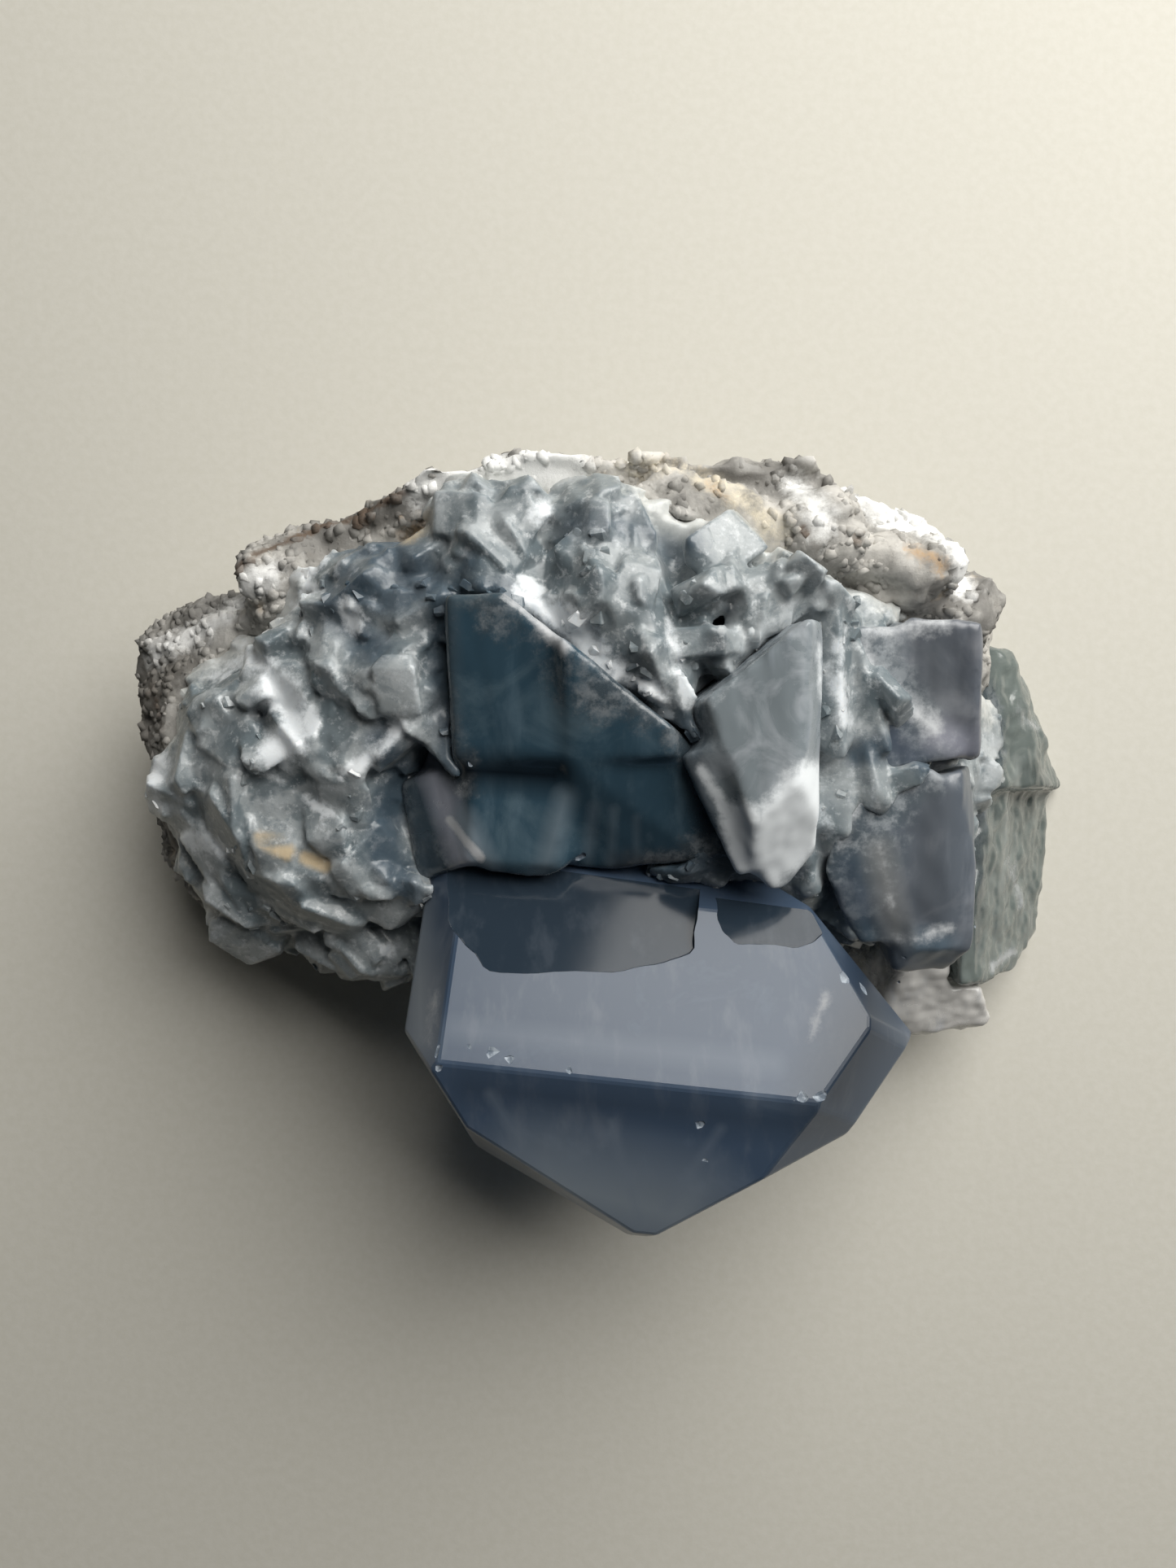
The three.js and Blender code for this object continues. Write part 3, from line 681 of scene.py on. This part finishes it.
# The rock shell: rough and sugary, white to grey, with tan and brown stains.
rock = dict(
    swell=0.2,
    voxel=0.44,
    coarse=dict(size=2.2, lean=0.26, dome=0.12),
    swirl=[(3.2, 0.22), (1.3, 0.16), (0.6, 0.14)],
    grains=dict(spacing=0.5, smallest=0.3, largest=0.75, sink=0.24, tilt=3.1, most=4e6),
    bareBelow=1.2,
    grainPatches=4.5,
    # The white strokes run along the shell's top edges, which face the window: the rock's own white, with a
    # painted highlight of the lit edges in it.
    white=[
        ([(-12.0, 21.6), (-7.8, 22.4), (-4.9, 22.9), (-1.3, 23.0)], 2.8, 1.0),
        ([(15.0, 21.9), (16.0, 19.8), (16.4, 17.9)], 2.4, 0.7),
        ([(-34.9, 10.4), (-30.6, 11.8), (-27.1, 14.0), (-23.3, 15.4)], 2.2, 0.7),
        ([(20.0, 21.6), (24.5, 19.6), (27.0, 18.0), (28.0, 15.0)], 2.2, 0.95),
    ],
    cream=[
        ([(8.0, 22.0), (11.4, 19.8), (13.2, 18.1)], 2.4, 0.6),
        ([(3.0, 23.0), (7.0, 22.6)], 2.0, 0.5),
    ],
    tan=[
        ([(23.4, 17.0), (25.6, 15.8)], 1.4, 0.6),
        ([(-13.4, 18.4), (-11.6, 18.8)], 1.6, 0.6),
        ([(8.6, 21.4), (9.6, 20.2)], 1.0, 0.5),
    ],
    brown=[
        ([(-26.4, 15.6), (-24.6, 17.0), (-20.4, 19.6), (-13.3, 21.4)], 0.7, 0.8),
        ([(-17.4, 20.0), (-16.8, 19.6)], 0.9, 0.9),
        ([(15.0, 17.9), (15.2, 17.6)], 0.6, 0.9),
        ([(18.8, 17.4), (19.0, 17.2)], 0.6, 0.9),
        ([(-35.2, 7.6), (-34.0, 4.2)], 1.4, 0.5),
    ],
    # Painted shade: the left side of the shell, which faces away from the window, and a short band on its top
    # are darkened.
    dusky=[
        ([(-32.4, 10.8), (-36.5, 7.0), (-38.5, -2.0)], 4.0, 1.0),
        ([(-16.0, 19.4), (-11.0, 20.6)], 1.8, 0.6),
    ],
    pale=(200, 197, 191),
    dull=(132, 130, 126),
    markLayers=[
        ("dusky", 1.1, 0.8, (118, 114, 108)), ("white", 1.1, 1.0, (243, 243, 241)),
        ("cream", 1.1, 0.9, (232, 222, 200)), ("tan", 1.1, 0.8, (192, 158, 116)),
        ("brown", 1.1, 0.8, (88, 68, 50)),
    ],
)


def rockMaterial(look):
    material, tree, shader, position = newMaterial("sugary rock")
    crest = tree.attribute("crest")
    broad = tree.noise(position, 6.0, 5, 0.6)
    colour = tree.mix(tree.ramp(broad, 0.4, 0.62), look["dull"], look["pale"])
    blotch = tree.noise(position, 1.6, 5, 0.7)
    colour = tree.mix(tree.ramp(blotch, 0.52, 0.7, 0.0, 0.5), colour, (128, 124, 118))
    rust = tree.noise(position, 4.4, 4, 0.62)
    colour = tree.mix(tree.ramp(rust, 0.6, 0.74, 0.0, 0.5), colour, (188, 164, 130))
    # Painted highlight and painted shade: the ridges are lightened and the hollows darkened.
    colour = tree.mix(tree.ramp(crest, 0.06, 0.3, 0.0, 0.6), colour, (232, 230, 225))
    colour = tree.mix(tree.ramp(crest, -0.06, -0.3, 0.0, 0.4), colour, (96, 90, 82))
    tree.fill(shader, {
        "Base Color": overlaid(tree, colour, position, look["markLayers"]),
        "Roughness": 0.8, "Specular IOR Level": 0.3,
        "Normal": tree.bump(tree.noise(position, 0.55, 6, 0.75), 0.5, 0.2),
    })
    return material


def makeRock(look):
    piece = evenCopy("rock_shell", "rock_shell_sugary", look["swell"], look["voxel"])
    mesh = piece.data
    raisePoints(mesh, facets(mesh, **look["coarse"]) + layered(pointsOf(mesh), look["swirl"], mm))
    storeValues(mesh, "crest", crestOf(mesh, look["voxel"]))
    for mark, *_ in look["markLayers"]:
        storeValues(mesh, mark, strokeValues(mesh, look[mark]))
    patches = noiseAt(pointsOf(mesh), look["grainPatches"] * mm)
    storeValues(mesh, "grainy", np.clip(0.7 + 1.6 * patches, 0, 1) * higherThan(mesh, look["bareBelow"]))
    dress(piece, rockMaterial(look))
    standsFor(piece, "rock_shell")
    print("rock shell:", len(mesh.polygons), "faces")
    return piece


rockPiece = makeRock(rock)
grainShapes = [lumpMesh(f"sugarGrain{i}", 11 + i, 10, 0.2) for i in range(3)]
for shape in grainShapes:
    shape.shade_smooth()
grainsPiece = scattered(
    "rock_sugar_grains", rockPiece, grainShapes, rock["grains"], "grainy", 5, rockPiece.active_material,
)
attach(grainsPiece, "root")
print("sugar grains:", len(grainsPiece.data.polygons), "faces")


# Clear to cloudy celestite: see-through, with veils, growth streaks, bruised white marks and tints; some
# white marks and tints are painted light and shade.
def crystalMaterial(name, look):
    material, tree, shader, position = newMaterial(name)
    veil = tree.use(veilGroup, {
        "Position": position, "Size": look["veilSize"], "Amount": look["veilAmount"],
    })["Veil"]
    upright = tree.add("ShaderNodeMapping", {"Vector": position, "Scale": (1.0, 0.16, 1.0)}).outputs["Vector"]
    streak = tree.ramp(tree.noise(upright, look["streakSize"], 4, 0.6), 0.5, 0.75, 0.0, look["streakShare"])
    colour = tree.mix(veil, look["clear"], look["cloudy"])
    colour = tree.mix(streak, colour, look["streakColour"])
    patches = tree.ramp(tree.noise(position, 1.5, 5, 0.7), 0.42, 0.62)
    mottle = tree.mix(patches, look["rootDeep"], look["rootPale"])
    colour = overlaid(tree, colour, position, [("root", 1.3, look["rootShare"], mottle)])
    fromAbove = tree.vector("MULTIPLY", position, (1, 1, 0))

    def strokeAt(start, end, halfWidth, strength):
        mark = tree.use(strokeGroup, {
            "Position": fromAbove, "Start": place((*start, 0)), "End": place((*end, 0)),
            "Half Width": halfWidth * mm,
        })["Mark"]
        return tree.math("MULTIPLY", mark, strength)

    for *stroke, tint in look["tints"]:
        colour = tree.mix(strokeAt(*stroke), colour, tint)
    rough = tree.math("ADD", look["roughness"], tree.math("MULTIPLY", veil, look["veilRoughness"]))
    if look["whiteMarks"]:
        first, *others = [strokeAt(*stroke) for stroke in look["whiteMarks"]]
        for mark in others:
            first = tree.math("MAXIMUM", first, mark)
        white = raggedMask(tree, position, first, 0.9)
        colour = tree.mix(white, colour, look["white"])
        rough = tree.math("ADD", rough, tree.math("MULTIPLY", white, 0.3))
    wave = tree.noise(position, look["waveSize"], 2, 0.4)
    relief = tree.math("ADD", wave, tree.math("MULTIPLY", tree.noise(upright, 1.2, 2, 0.5), 0.12))
    tree.fill(shader, {
        "Base Color": colour, "Roughness": rough, "Normal": tree.bump(relief, look["waveStrength"], 0.3),
        "IOR": celestiteIor, "Specular IOR Level": look["shine"], "Transmission Weight": look["transmission"],
    })
    absorb = tree.add("ShaderNodeVolumeAbsorption", {
        "Color": look["depthColour"], "Density": look["depthDensity"],
    })
    tree.link(absorb.outputs[0], material.node_tree.nodes["Material Output"].inputs["Volume"])
    return material


# White marks, bruised crystal with painted highlights in places, are (start, end, half width, strength), and
# tints, some of which paint light and shade, have a colour too.
# Lobes are the centres and radii of clean breaks, chips are (place, size), and extra has the corners of hulls
# that fill a step.
slateCrystal = dict(
    white=(246, 249, 252), veilSize=6.0, veilAmount=0.4, veilRoughness=0.12, roughness=0.1, shine=0.5,
    streakColour=(178, 186, 198), streakShare=0.3, streakSize=2.2, waveSize=5.0, waveStrength=0.04,
    depthColour=(100, 130, 165), depthDensity=35.0,
    rootDeep=(96, 108, 116), rootPale=(176, 183, 188), rootShare=0.85, rootReach=3.0,
    extra=[], whiteMarks=[], tints=[], chips=[], wear=10, lobes=[], soften=None,
)
roundedBlock = dict(voxel=0.26, close=0.4, rounds=4, ripples=[(2.4, 0.26), (0.8, 0.08)], stretch=0.4)
crystals = {
    "front_crystal": {
        **slateCrystal, "clear": (92, 113, 140), "cloudy": (136, 154, 176), "wear": 18,
        "roughness": 0.28, "shine": 0.09, "transmission": 0.6, "bevel": 0.25,
        # Painted light and shade: the first tint lightens the shaded left face, the second darkens the right
        # face, the third lightens the front face towards the tip and the fourth darkens it under the top
        # edge.
        "tints": [
            ((-12.6, -9.0), (-11.6, -17.5), 2.2, 0.9, (176, 188, 200)),
            ((17.0, -21.0), (21.0, -13.5), 4.5, 0.8, (52, 64, 80)),
            ((-3.0, -27.6), (6.0, -30.0), 6.5, 0.9, (172, 184, 194)),
            ((-8.0, -20.5), (14.0, -23.0), 2.2, 0.5, (66, 80, 98)),
            ((-6.6, -21.0), (-3.0, -27.6), 0.7, 0.4, (150, 164, 180)),
            ((1.6, -23.0), (3.6, -30.4), 0.5, 0.4, (150, 164, 180)),
            ((9.0, -23.4), (5.4, -29.6), 0.6, 0.35, (150, 164, 180)),
            ((-9.0, -16.6), (12.6, -19.0), 1.2, 0.25, (170, 184, 200)),
        ],
        "whiteMarks": [
            ((15.2, -17.4), (16.6, -14.6), 0.9, 0.45), ((-10.6, -14.6), (-10.9, -17.6), 1.0, 0.45),
        ],
        "lobes": [((-0.9, -7.5), (9.2, 5.7)), ((13.2, -8.0), (4.2, 3.5))],
        "chips": [
            ((-10.3, -18.0, 30.4), 0.65), ((-10.0, -19.2, 30.9), 0.5), ((-8.1, -17.7, 30.5), 0.43),
            ((-6.4, -18.1, 30.6), 0.79), ((-5.3, -18.5, 30.7), 0.5), ((-1.2, -19.2, 30.8), 0.43),
            ((15.7, -20.9, 30.8), 0.94), ((14.4, -20.9, 30.8), 0.58), ((17.8, -13.6, 27.8), 0.72),
            ((19.6, -14.6, 26.1), 0.79), ((5.9, -20.3, 31.0), 0.36), ((7.6, -23.0, 30.2), 0.5),
            ((8.2, -25.8, 29.4), 0.58), ((-12.2, -17.0, 28.6), 0.86),
        ],
    },
    "blue_crystals": {
        **slateCrystal, "clear": (68, 98, 116), "cloudy": (112, 138, 152), "veilAmount": 0.45,
        "streakColour": (130, 156, 172), "streakShare": 0.35, "depthColour": (50, 95, 130),
        "depthDensity": 90.0, "roughness": 0.22, "transmission": 0.48, "shine": 0.35,
        "soften": dict(voxel=0.28, close=0.7, rounds=9, ripples=[(2.6, 0.14), (0.9, 0.04)], stretch=0.15),
        "extra": [[
            (-8.6, 1.6, 27.2), (-8.2, -5.6, 26.6), (-13.8, 0.2, 23.4), (-12.6, -7.4, 22.8),
            (-7.0, 1.0, 17.0), (-7.0, -6.0, 17.0), (-13.6, 0.0, 17.0), (-12.6, -7.0, 17.0),
        ]],
        # Painted light and shade: the first tint darkens the shaded valley side at the left, the second
        # paints a lavender reflection onto the left bevel, the third paints the shadow under the step and the
        # next three paint a highlight round the rims of the lower point.
        "tints": [
            ((-12.4, 1.6), (-11.6, -7.0), 2.4, 0.9, (72, 88, 100)),
            ((-11.6, 2.2), (-8.8, -5.4), 1.7, 1.2, (196, 200, 214)),
            ((-9.0, 1.0), (-2.4, 0.6), 2.0, 1.0, (22, 34, 44)),
            ((-8.8, -2.6), (-6.6, -7.6), 1.5, 0.9, (160, 178, 190)),
            ((-6.6, -7.6), (-3.6, -7.8), 1.5, 0.9, (160, 178, 190)),
            ((-3.6, -7.8), (-1.6, -1.0), 1.3, 0.8, (134, 152, 164)),
            ((0.4, -1.6), (-0.2, -7.4), 0.7, 0.7, (124, 144, 158)),
            ((1.8, -1.8), (1.6, -7.4), 0.6, 0.6, (124, 144, 158)),
            ((3.4, -2.4), (3.6, -7.4), 0.5, 0.5, (124, 144, 158)),
            ((3.0, -6.8), (7.6, -7.4), 2.6, 0.8, (92, 82, 78)),
            ((-11.6, 14.0), (-8.0, 14.0), 2.6, 0.7, (128, 138, 140)),
            ((-9.9, 12.6), (-10.0, 2.4), 1.7, 0.9, (94, 110, 120)),
        ],
        "whiteMarks": [
            ((-9.9, -2.6), (-7.6, -5.2), 0.6, 1.0), ((-5.2, 13.0), (-1.6, 9.0), 1.0, 0.8),
            ((-8.6, 0.0), (-10.6, -1.6), 1.1, 0.3),
        ],
    },
    "tall_crystal": {
        **slateCrystal, "clear": (130, 139, 144), "cloudy": (178, 184, 190), "veilAmount": 0.6,
        "white": (247, 252, 255),
        "veilSize": 4.0, "veilRoughness": 0.25, "roughness": 0.25, "transmission": 0.05, "depthDensity": 80.0,
        "soften": dict(voxel=0.26, close=0.8, rounds=4, ripples=[(2.6, 0.16), (0.8, 0.06)], stretch=0.3),
        "extra": [[
            (8.4, 2.6, 31.9), (12.6, -5.4, 29.4), (6.2, 2.0, 30.4), (10.4, -6.4, 28.2),
            (9.6, 2.0, 21.0), (12.8, -5.4, 21.0), (7.4, 1.6, 21.0), (11.0, -6.0, 21.0),
        ]],
        "tints": [((6.0, 1.6), (9.0, -5.6), 2.0, 1.0, (64, 80, 92))],
        # White marks: the tip's white is bruised crystal with a painted highlight in it, and the pale streak
        # down the left edge is a painted reflection of the window.
        "whiteMarks": [
            ((14.8, -0.8), (13.4, -4.2), 3.4, 1.5), ((13.4, -2.4), (12.0, -5.6), 3.0, 1.6),
            ((7.6, 1.0), (10.0, -2.8), 0.8, 0.8), ((10.4, -2.6), (11.4, -6.4), 2.2, 1.3),
            ((8.4, 5.4), (11.6, 9.0), 0.7, 0.3), ((15.2, 9.2), (15.6, 5.6), 0.8, 0.5),
        ],
        "wear": 0,
    },
    "side_prism": {
        **slateCrystal, "clear": (106, 114, 124), "cloudy": (146, 150, 158), "veilAmount": 0.55,
        "veilRoughness": 0.2, "roughness": 0.3, "transmission": 0.3,
        "soften": roundedBlock,
        "extra": [[
            (18.2, -1.6, 25.8), (24.6, 1.4, 25.4), (27.4, -0.6, 24.6), (27.4, -11.4, 23.2),
            (20.4, -12.2, 21.8), (17.2, -6.6, 24.2),
            (19.6, -1.6, 16.0), (26.0, 0.4, 16.0), (26.0, -10.4, 16.0), (20.6, -10.6, 16.0),
        ]],
        "whiteMarks": [
            ((21.0, -4.2), (22.6, -9.6), 1.4, 0.28), ((19.4, -1.4), (18.2, -4.4), 1.2, 0.4),
            ((25.0, -11.0), (26.6, -10.6), 1.2, 0.5), ((22.0, -11.6), (24.4, -11.4), 1.4, 0.35),
        ],
        "tints": [
            ((24.8, -1.0), (24.8, -9.0), 2.4, 0.5, (86, 90, 96)),
            ((19.0, -6.0), (20.8, -11.0), 1.6, 0.6, (72, 92, 112)),
            ((19.0, -12.0), (26.0, -12.0), 2.0, 0.5, (96, 124, 142)),
            ((18.6, 0.0), (23.0, 0.6), 1.8, 0.5, (78, 86, 100)),
            ((21.1, -4.9), (22.9, -11.4), 1.7, 0.8, (156, 158, 158)),
        ],
    },
    "back_block": {
        **slateCrystal, "clear": (110, 116, 126), "cloudy": (148, 151, 158), "veilAmount": 0.55,
        "veilRoughness": 0.2, "roughness": 0.3, "transmission": 0.3,
        "soften": roundedBlock,
        "extra": [[
            (18.8, 11.2, 27.2), (25.4, 11.2, 26.6), (27.2, 9.6, 26.4), (27.0, 1.8, 25.2),
            (20.6, 0.8, 25.6), (18.0, 5.4, 26.6),
            (20.4, 9.6, 16.0), (26.0, 9.0, 16.0), (26.0, 3.0, 16.0), (20.4, 3.4, 16.0),
        ]],
        "whiteMarks": [
            ((19.2, 9.6), (21.4, 6.6), 1.5, 0.55), ((21.4, 6.6), (24.8, 4.0), 1.6, 0.65),
            ((24.8, 3.6), (26.8, 2.4), 2.0, 0.3), ((20.0, 11.0), (25.0, 11.4), 1.8, 0.5),
        ],
        "tints": [
            ((24.4, 9.4), (24.8, 7.0), 3.4, 0.7, (92, 98, 104)),
            ((21.4, 3.6), (23.4, 1.6), 2.4, 0.8, (70, 82, 100)),
            ((25.4, 3.4), (27.2, 2.8), 2.0, 0.9, (158, 160, 174)),
        ],
    },
    "edge_plates": {
        **slateCrystal, "clear": (140, 150, 146), "cloudy": (170, 179, 174), "veilAmount": 0.55,
        "veilSize": 2.6, "roughness": 0.16, "transmission": 0.5, "depthDensity": 50.0, "streakShare": 0.12,
        "soften": dict(voxel=0.26, close=0.3, rounds=3, ripples=[(2.2, 0.34), (0.8, 0.16)], stretch=0.9),
        "whiteMarks": [
            ((36.0, 6.0), (38.6, 4.8), 1.8, 0.4), ((36.4, -6.8), (38.4, -10.6), 1.8, 0.4),
            ((37.3, -14.7), (34.4, -15.4), 1.1, 0.6),
        ],
        "tints": [
            ((38.0, 1.0), (39.2, -1.6), 2.0, 0.6, (84, 92, 90)),
            ((32.6, 12.0), (32.2, -13.0), 1.6, 0.6, (92, 100, 104)),
            ((36.0, 2.0), (35.4, -9.0), 0.6, 0.4, (206, 212, 208)),
            ((34.4, 1.0), (34.0, -6.0), 0.5, 0.4, (108, 116, 114)),
        ],
    },
    "corner_crystal": {
        **slateCrystal, "clear": (222, 220, 216), "cloudy": (228, 226, 222), "veilSize": 2.4,
        "roughness": 0.25, "transmission": 0.25, "streakShare": 0.5,
        "depthColour": (150, 144, 136), "depthDensity": 20.0,
        "soften": dict(voxel=0.26, close=0.2, rounds=2, ripples=[(1.8, 0.3), (0.7, 0.12)], stretch=1),
    },
}


# The direction straight out of a crystal at an edge or a corner.
def outwardAt(tree, at, reach):
    normals = []
    for _, normal, _, _ in tree.find_nearest_range(at, reach * mm):
        if all(normal.dot(other) < 0.98 for other in normals):
            normals.append(normal)
    return sum(normals, Vector()).normalized()


# What counts as a sharp edge, in radians and millimetres, how free it has to stand, and a chip's form.
chipping = dict(
    sharpness=0.35, shortest=1.5, start=0.4, freeAhead=6, freeAround=0.6, sizes=(0.25, 0.6), corners=16,
    spread=0.12, flatness=0.6, sink=0.34,
)


# Random places and sizes of chips, on the sharp edges of a crystal that stand clear of all the others.
def wornPlaces(nodeName, mesh, count, draw):
    own = treeOf(mesh)
    others = [treeOf(node.data) for name, node in frame["nodes"].items() if name != nodeName]
    work = bmesh.new()
    work.from_mesh(mesh)
    sharp = [
        edge for edge in work.edges if edge.is_manifold
        and edge.calc_face_angle() > chipping["sharpness"] and edge.calc_length() > chipping["shortest"] * mm
    ]
    lengths = [edge.calc_length() for edge in sharp]
    places = []
    for edge in draw.choices(sharp, lengths, k=count * 6):
        at = edge.verts[0].co.lerp(edge.verts[1].co, draw.random())
        outward = outwardAt(own, at, 0.1)
        start = at + outward * chipping["start"] * mm
        ahead = all(tree.ray_cast(start, outward, chipping["freeAhead"] * mm)[0] is None for tree in others)
        if ahead and all(tree.find_nearest(at)[3] > chipping["freeAround"] * mm for tree in others):
            places.append((at, draw.uniform(*chipping["sizes"])))
    work.free()
    return places[:count]


# The lumps that are cut out of a crystal's edges, as one piece.
def chipCutter(nodeName, mesh, look):
    draw = random.Random(nodeName)
    own = treeOf(mesh)
    spots = [(place(at), size) for at, size in look["chips"]] + wornPlaces(nodeName, mesh, look["wear"], draw)
    cutter = newPiece(nodeName + "Chips", bpy.data.meshes.new(nodeName + "Chips"))
    lumps = []
    for at, size in spots:
        outward = outwardAt(own, at, max(0.5, 0.8 * size))
        lump = lumpMesh("chip", draw.random(), chipping["corners"], chipping["spread"])
        turn = outward.to_track_quat("Z", "Y").to_matrix().to_4x4()
        lump.transform(turn @ Matrix.Diagonal((1, 1, chipping["flatness"], 1)))
        centre = at + outward * chipping["sink"] * size * mm
        lump.transform(Matrix.Translation(centre) @ Matrix.Scale(size * mm, 4))
        lumps.append(lump)
    gather(cutter, *lumps)
    bpy.data.batch_remove(lumps)
    return cutter


def cutAway(piece, cutter, material):
    dress(cutter, material)
    modify(
        piece, "cut", "BOOLEAN", operation="DIFFERENCE", solver="EXACT", use_self=True,
        material_mode="TRANSFER", object=cutter,
    )
    applyModifiers(piece)
    bpy.data.objects.remove(cutter)


# The front crystal's top face lies at a distance from the crystal's centre, along its normal.
topFace = dict(centre=(3.5, -14, 17), normal=(0.039, 0.372, 0.927), distance=10.7)
cleanBreaks = dict(lean=15, depth=0.12, steps=72, squareness=0.72, headroom=6)


# The height of the top face above the table.
def topFaceAt(x, y):
    (middleX, middleY, middleZ), (leanX, leanY, up) = topFace["centre"], topFace["normal"]
    return middleZ + (topFace["distance"] - leanX * (x - middleX) - leanY * (y - middleY)) / up


# A shallow scoop into the top face with a squarish, wavy rim, deeper towards the back: a clean break.
def lobeCutter(centre, radii, look):
    lean = math.tan(math.radians(look["lean"]))
    work = bmesh.new()
    low, high = [], []
    for step in range(look["steps"]):
        turn = math.tau * step / look["steps"]
        wave = 1 + 0.035 * math.sin(5 * turn + centre[0]) + 0.02 * math.sin(9 * turn + 1.3)
        wave += 0.01 * math.sin(17 * turn)
        x, y = (
            middle + wave * radius * math.copysign(abs(part) ** look["squareness"], part)
            for middle, radius, part in zip(centre, radii, (math.cos(turn), math.sin(turn)))
        )
        scoop = topFaceAt(x, y) - look["depth"] - lean * (y - centre[1] + radii[1])
        low.append(work.verts.new(place((x, y, scoop))))
        high.append(work.verts.new(place((x, y, topFaceAt(x, y) + look["headroom"]))))
    work.faces.new(low)
    work.faces.new(high)
    for i in range(look["steps"]):
        work.faces.new((low[i - 1], low[i], high[i], high[i - 1]))
    bmesh.ops.recalc_face_normals(work, faces=work.faces)
    return newPiece("lobe", endWork(work, bpy.data.meshes.new("lobe")))


# Fills a crystal's creases, rounds its edges off and gives its faces a soft ripple. A stretch under 1
# draws the ripple out from front to back.
def soften(piece, look):
    for distance in (0, look["close"], -look["close"]):
        swell(piece, distance)
        evenMesh(piece, look["voxel"])
    modify(piece, "round edges", "SMOOTH", iterations=look["rounds"])
    applyModifiers(piece)
    stretched = pointsOf(piece.data) / mm * (1, look["stretch"], 1)
    raisePoints(piece.data, layered(stretched, look["ripples"], 1))


bedTree = treeOf(bedPiece.data)


# A crystal is filled out with its extra hulls, softened or bevelled, and chipped. A softened one is grown
# over with cloudy crystal at its root in the bed.
def makeCrystal(nodeName, look):
    piece = copyOfNode(nodeName, nodeName + "_clear")
    work = bmesh.new()
    work.from_mesh(piece.data)
    bmesh.ops.dissolve_limit(work, angle_limit=math.radians(0.4), verts=work.verts, edges=work.edges)
    endWork(work, piece.data)
    cutter = chipCutter(nodeName, piece.data, look) if look["wear"] else None
    for corners in look["extra"]:
        gather(piece, hullMesh("extra", [place(corner) for corner in corners]), piece.data)
    if look["soften"]:
        soften(piece, look["soften"])
        storeValues(piece.data, "root", 1 - distancesTo(bedTree, piece.data) / look["rootReach"])
    else:
        modify(
            piece, "worn edges", "BEVEL", width=look["bevel"] * mm, segments=2, limit_method="ANGLE",
            angle_limit=math.radians(12),
        )
        applyModifiers(piece)
    dress(piece, crystalMaterial(nodeName.replace("_", " "), look))
    if cutter:
        cutAway(piece, cutter, bruised)
    for centre, radii in look["lobes"]:
        cutAway(piece, lobeCutter(centre, radii, cleanBreaks), cleanBreakPaintedDark)
    standsFor(piece, nodeName)
    return piece


# The white, crushed look of a chip's inside.
def bruisedMaterial():
    material, tree, shader, position = newMaterial("bruised crystal")
    shade = tree.noise(position, 0.6, 4, 0.6)
    tree.fill(shader, {
        "Base Color": tree.mix(tree.ramp(shade, 0.4, 0.62), (116, 128, 142), (180, 190, 200)),
        "Roughness": 0.5, "IOR": celestiteIor, "Transmission Weight": 0.25,
        "Normal": tree.bump(shade, 0.4, 0.1),
    })
    return material


bruised = bruisedMaterial()
# The clean breaks are real scoops in the top face, but their dark colour is a painted dark reflection.
cleanBreakPaintedDark = crystalMaterial("clean break", {
    **slateCrystal, "clear": (44, 56, 68), "cloudy": (52, 64, 76), "transmission": 0.25, "shine": 0.1,
    "streakShare": 0.06,
})
for nodeName, look in crystals.items():
    piece = makeCrystal(nodeName, look)
    print(piece.name + ":", len(piece.data.polygons), "faces")


# Here alone, lengths are in metres and colours are shares of 1.
studio = dict(
    floor=0.6,
    window=dict(
        toward=(0.42, 0.59, 0.69), distance=0.29, width=0.285, height=0.285, above=0.02, power=1.5,
        colour=(1, 0.985, 0.95),
    ),
    ambient=0.02,
    ambientColour=(0.9, 0.96, 1.0),
    backdrop=0.55,
)


def floorMaterial():
    material, tree, shader, position = newMaterial("pale card")
    mottle = tree.ramp(tree.noise(position, 0.8, 4, 0.6), 0.3, 0.7)
    tree.fill(shader, {
        "Base Color": tree.mix(mottle, (205, 202, 191), (209, 206, 196)), "Roughness": 0.75,
        "Normal": tree.bump(tree.noise(position, 1.0, 3, 0.6), 0.15, 0.1),
    })
    return material


bpy.ops.mesh.primitive_plane_add(size=studio["floor"])
floor = bpy.context.object
floor.name = "floor"
dress(floor, floorMaterial())


def addWindow(name, look):
    light = bpy.data.lights.new(name, "AREA")
    light.shape = "RECTANGLE"
    light.size = look["width"]
    light.size_y = look["height"]
    light.energy = look["power"]
    light.color = look["colour"]
    lamp = newPiece(name, light)
    toward = Vector(look["toward"]).normalized()
    lamp.location = toward * look["distance"] + Vector((0, 0, look["above"]))
    lamp.rotation_euler = toward.to_track_quat("Z", "Y").to_euler()


addWindow("window", studio["window"])
world = bpy.data.worlds.new("room")
world.use_nodes = True
worldTree = Tree(world.node_tree)
background = world.node_tree.nodes["Background"]
seen = worldTree.add("ShaderNodeLightPath").outputs["Is Camera Ray"]
background.inputs["Color"].default_value = (*studio["ambientColour"], 1)
strength = worldTree.math("MULTIPLY_ADD", seen, studio["backdrop"], studio["ambient"])
worldTree.link(strength, background.inputs["Strength"])
bpy.context.scene.world = world
bpy.context.scene.view_settings.view_transform = "Standard"

# The camera looks straight down from over the datum. Its focal length is in pixels of the image height.
camera = dict(height=110, focal=1446, imageHeight=1927, sensor=36, nearest=5)
lens = bpy.data.cameras.new("camera")
lens.sensor_fit = "VERTICAL"
lens.sensor_height = camera["sensor"]
lens.lens = camera["focal"] / camera["imageHeight"] * camera["sensor"]
lens.clip_start = camera["nearest"] * mm
viewer = newPiece("camera", lens)
viewer.location = place((0, 0, camera["height"]))
bpy.context.scene.camera = viewer
print("stage and camera set")
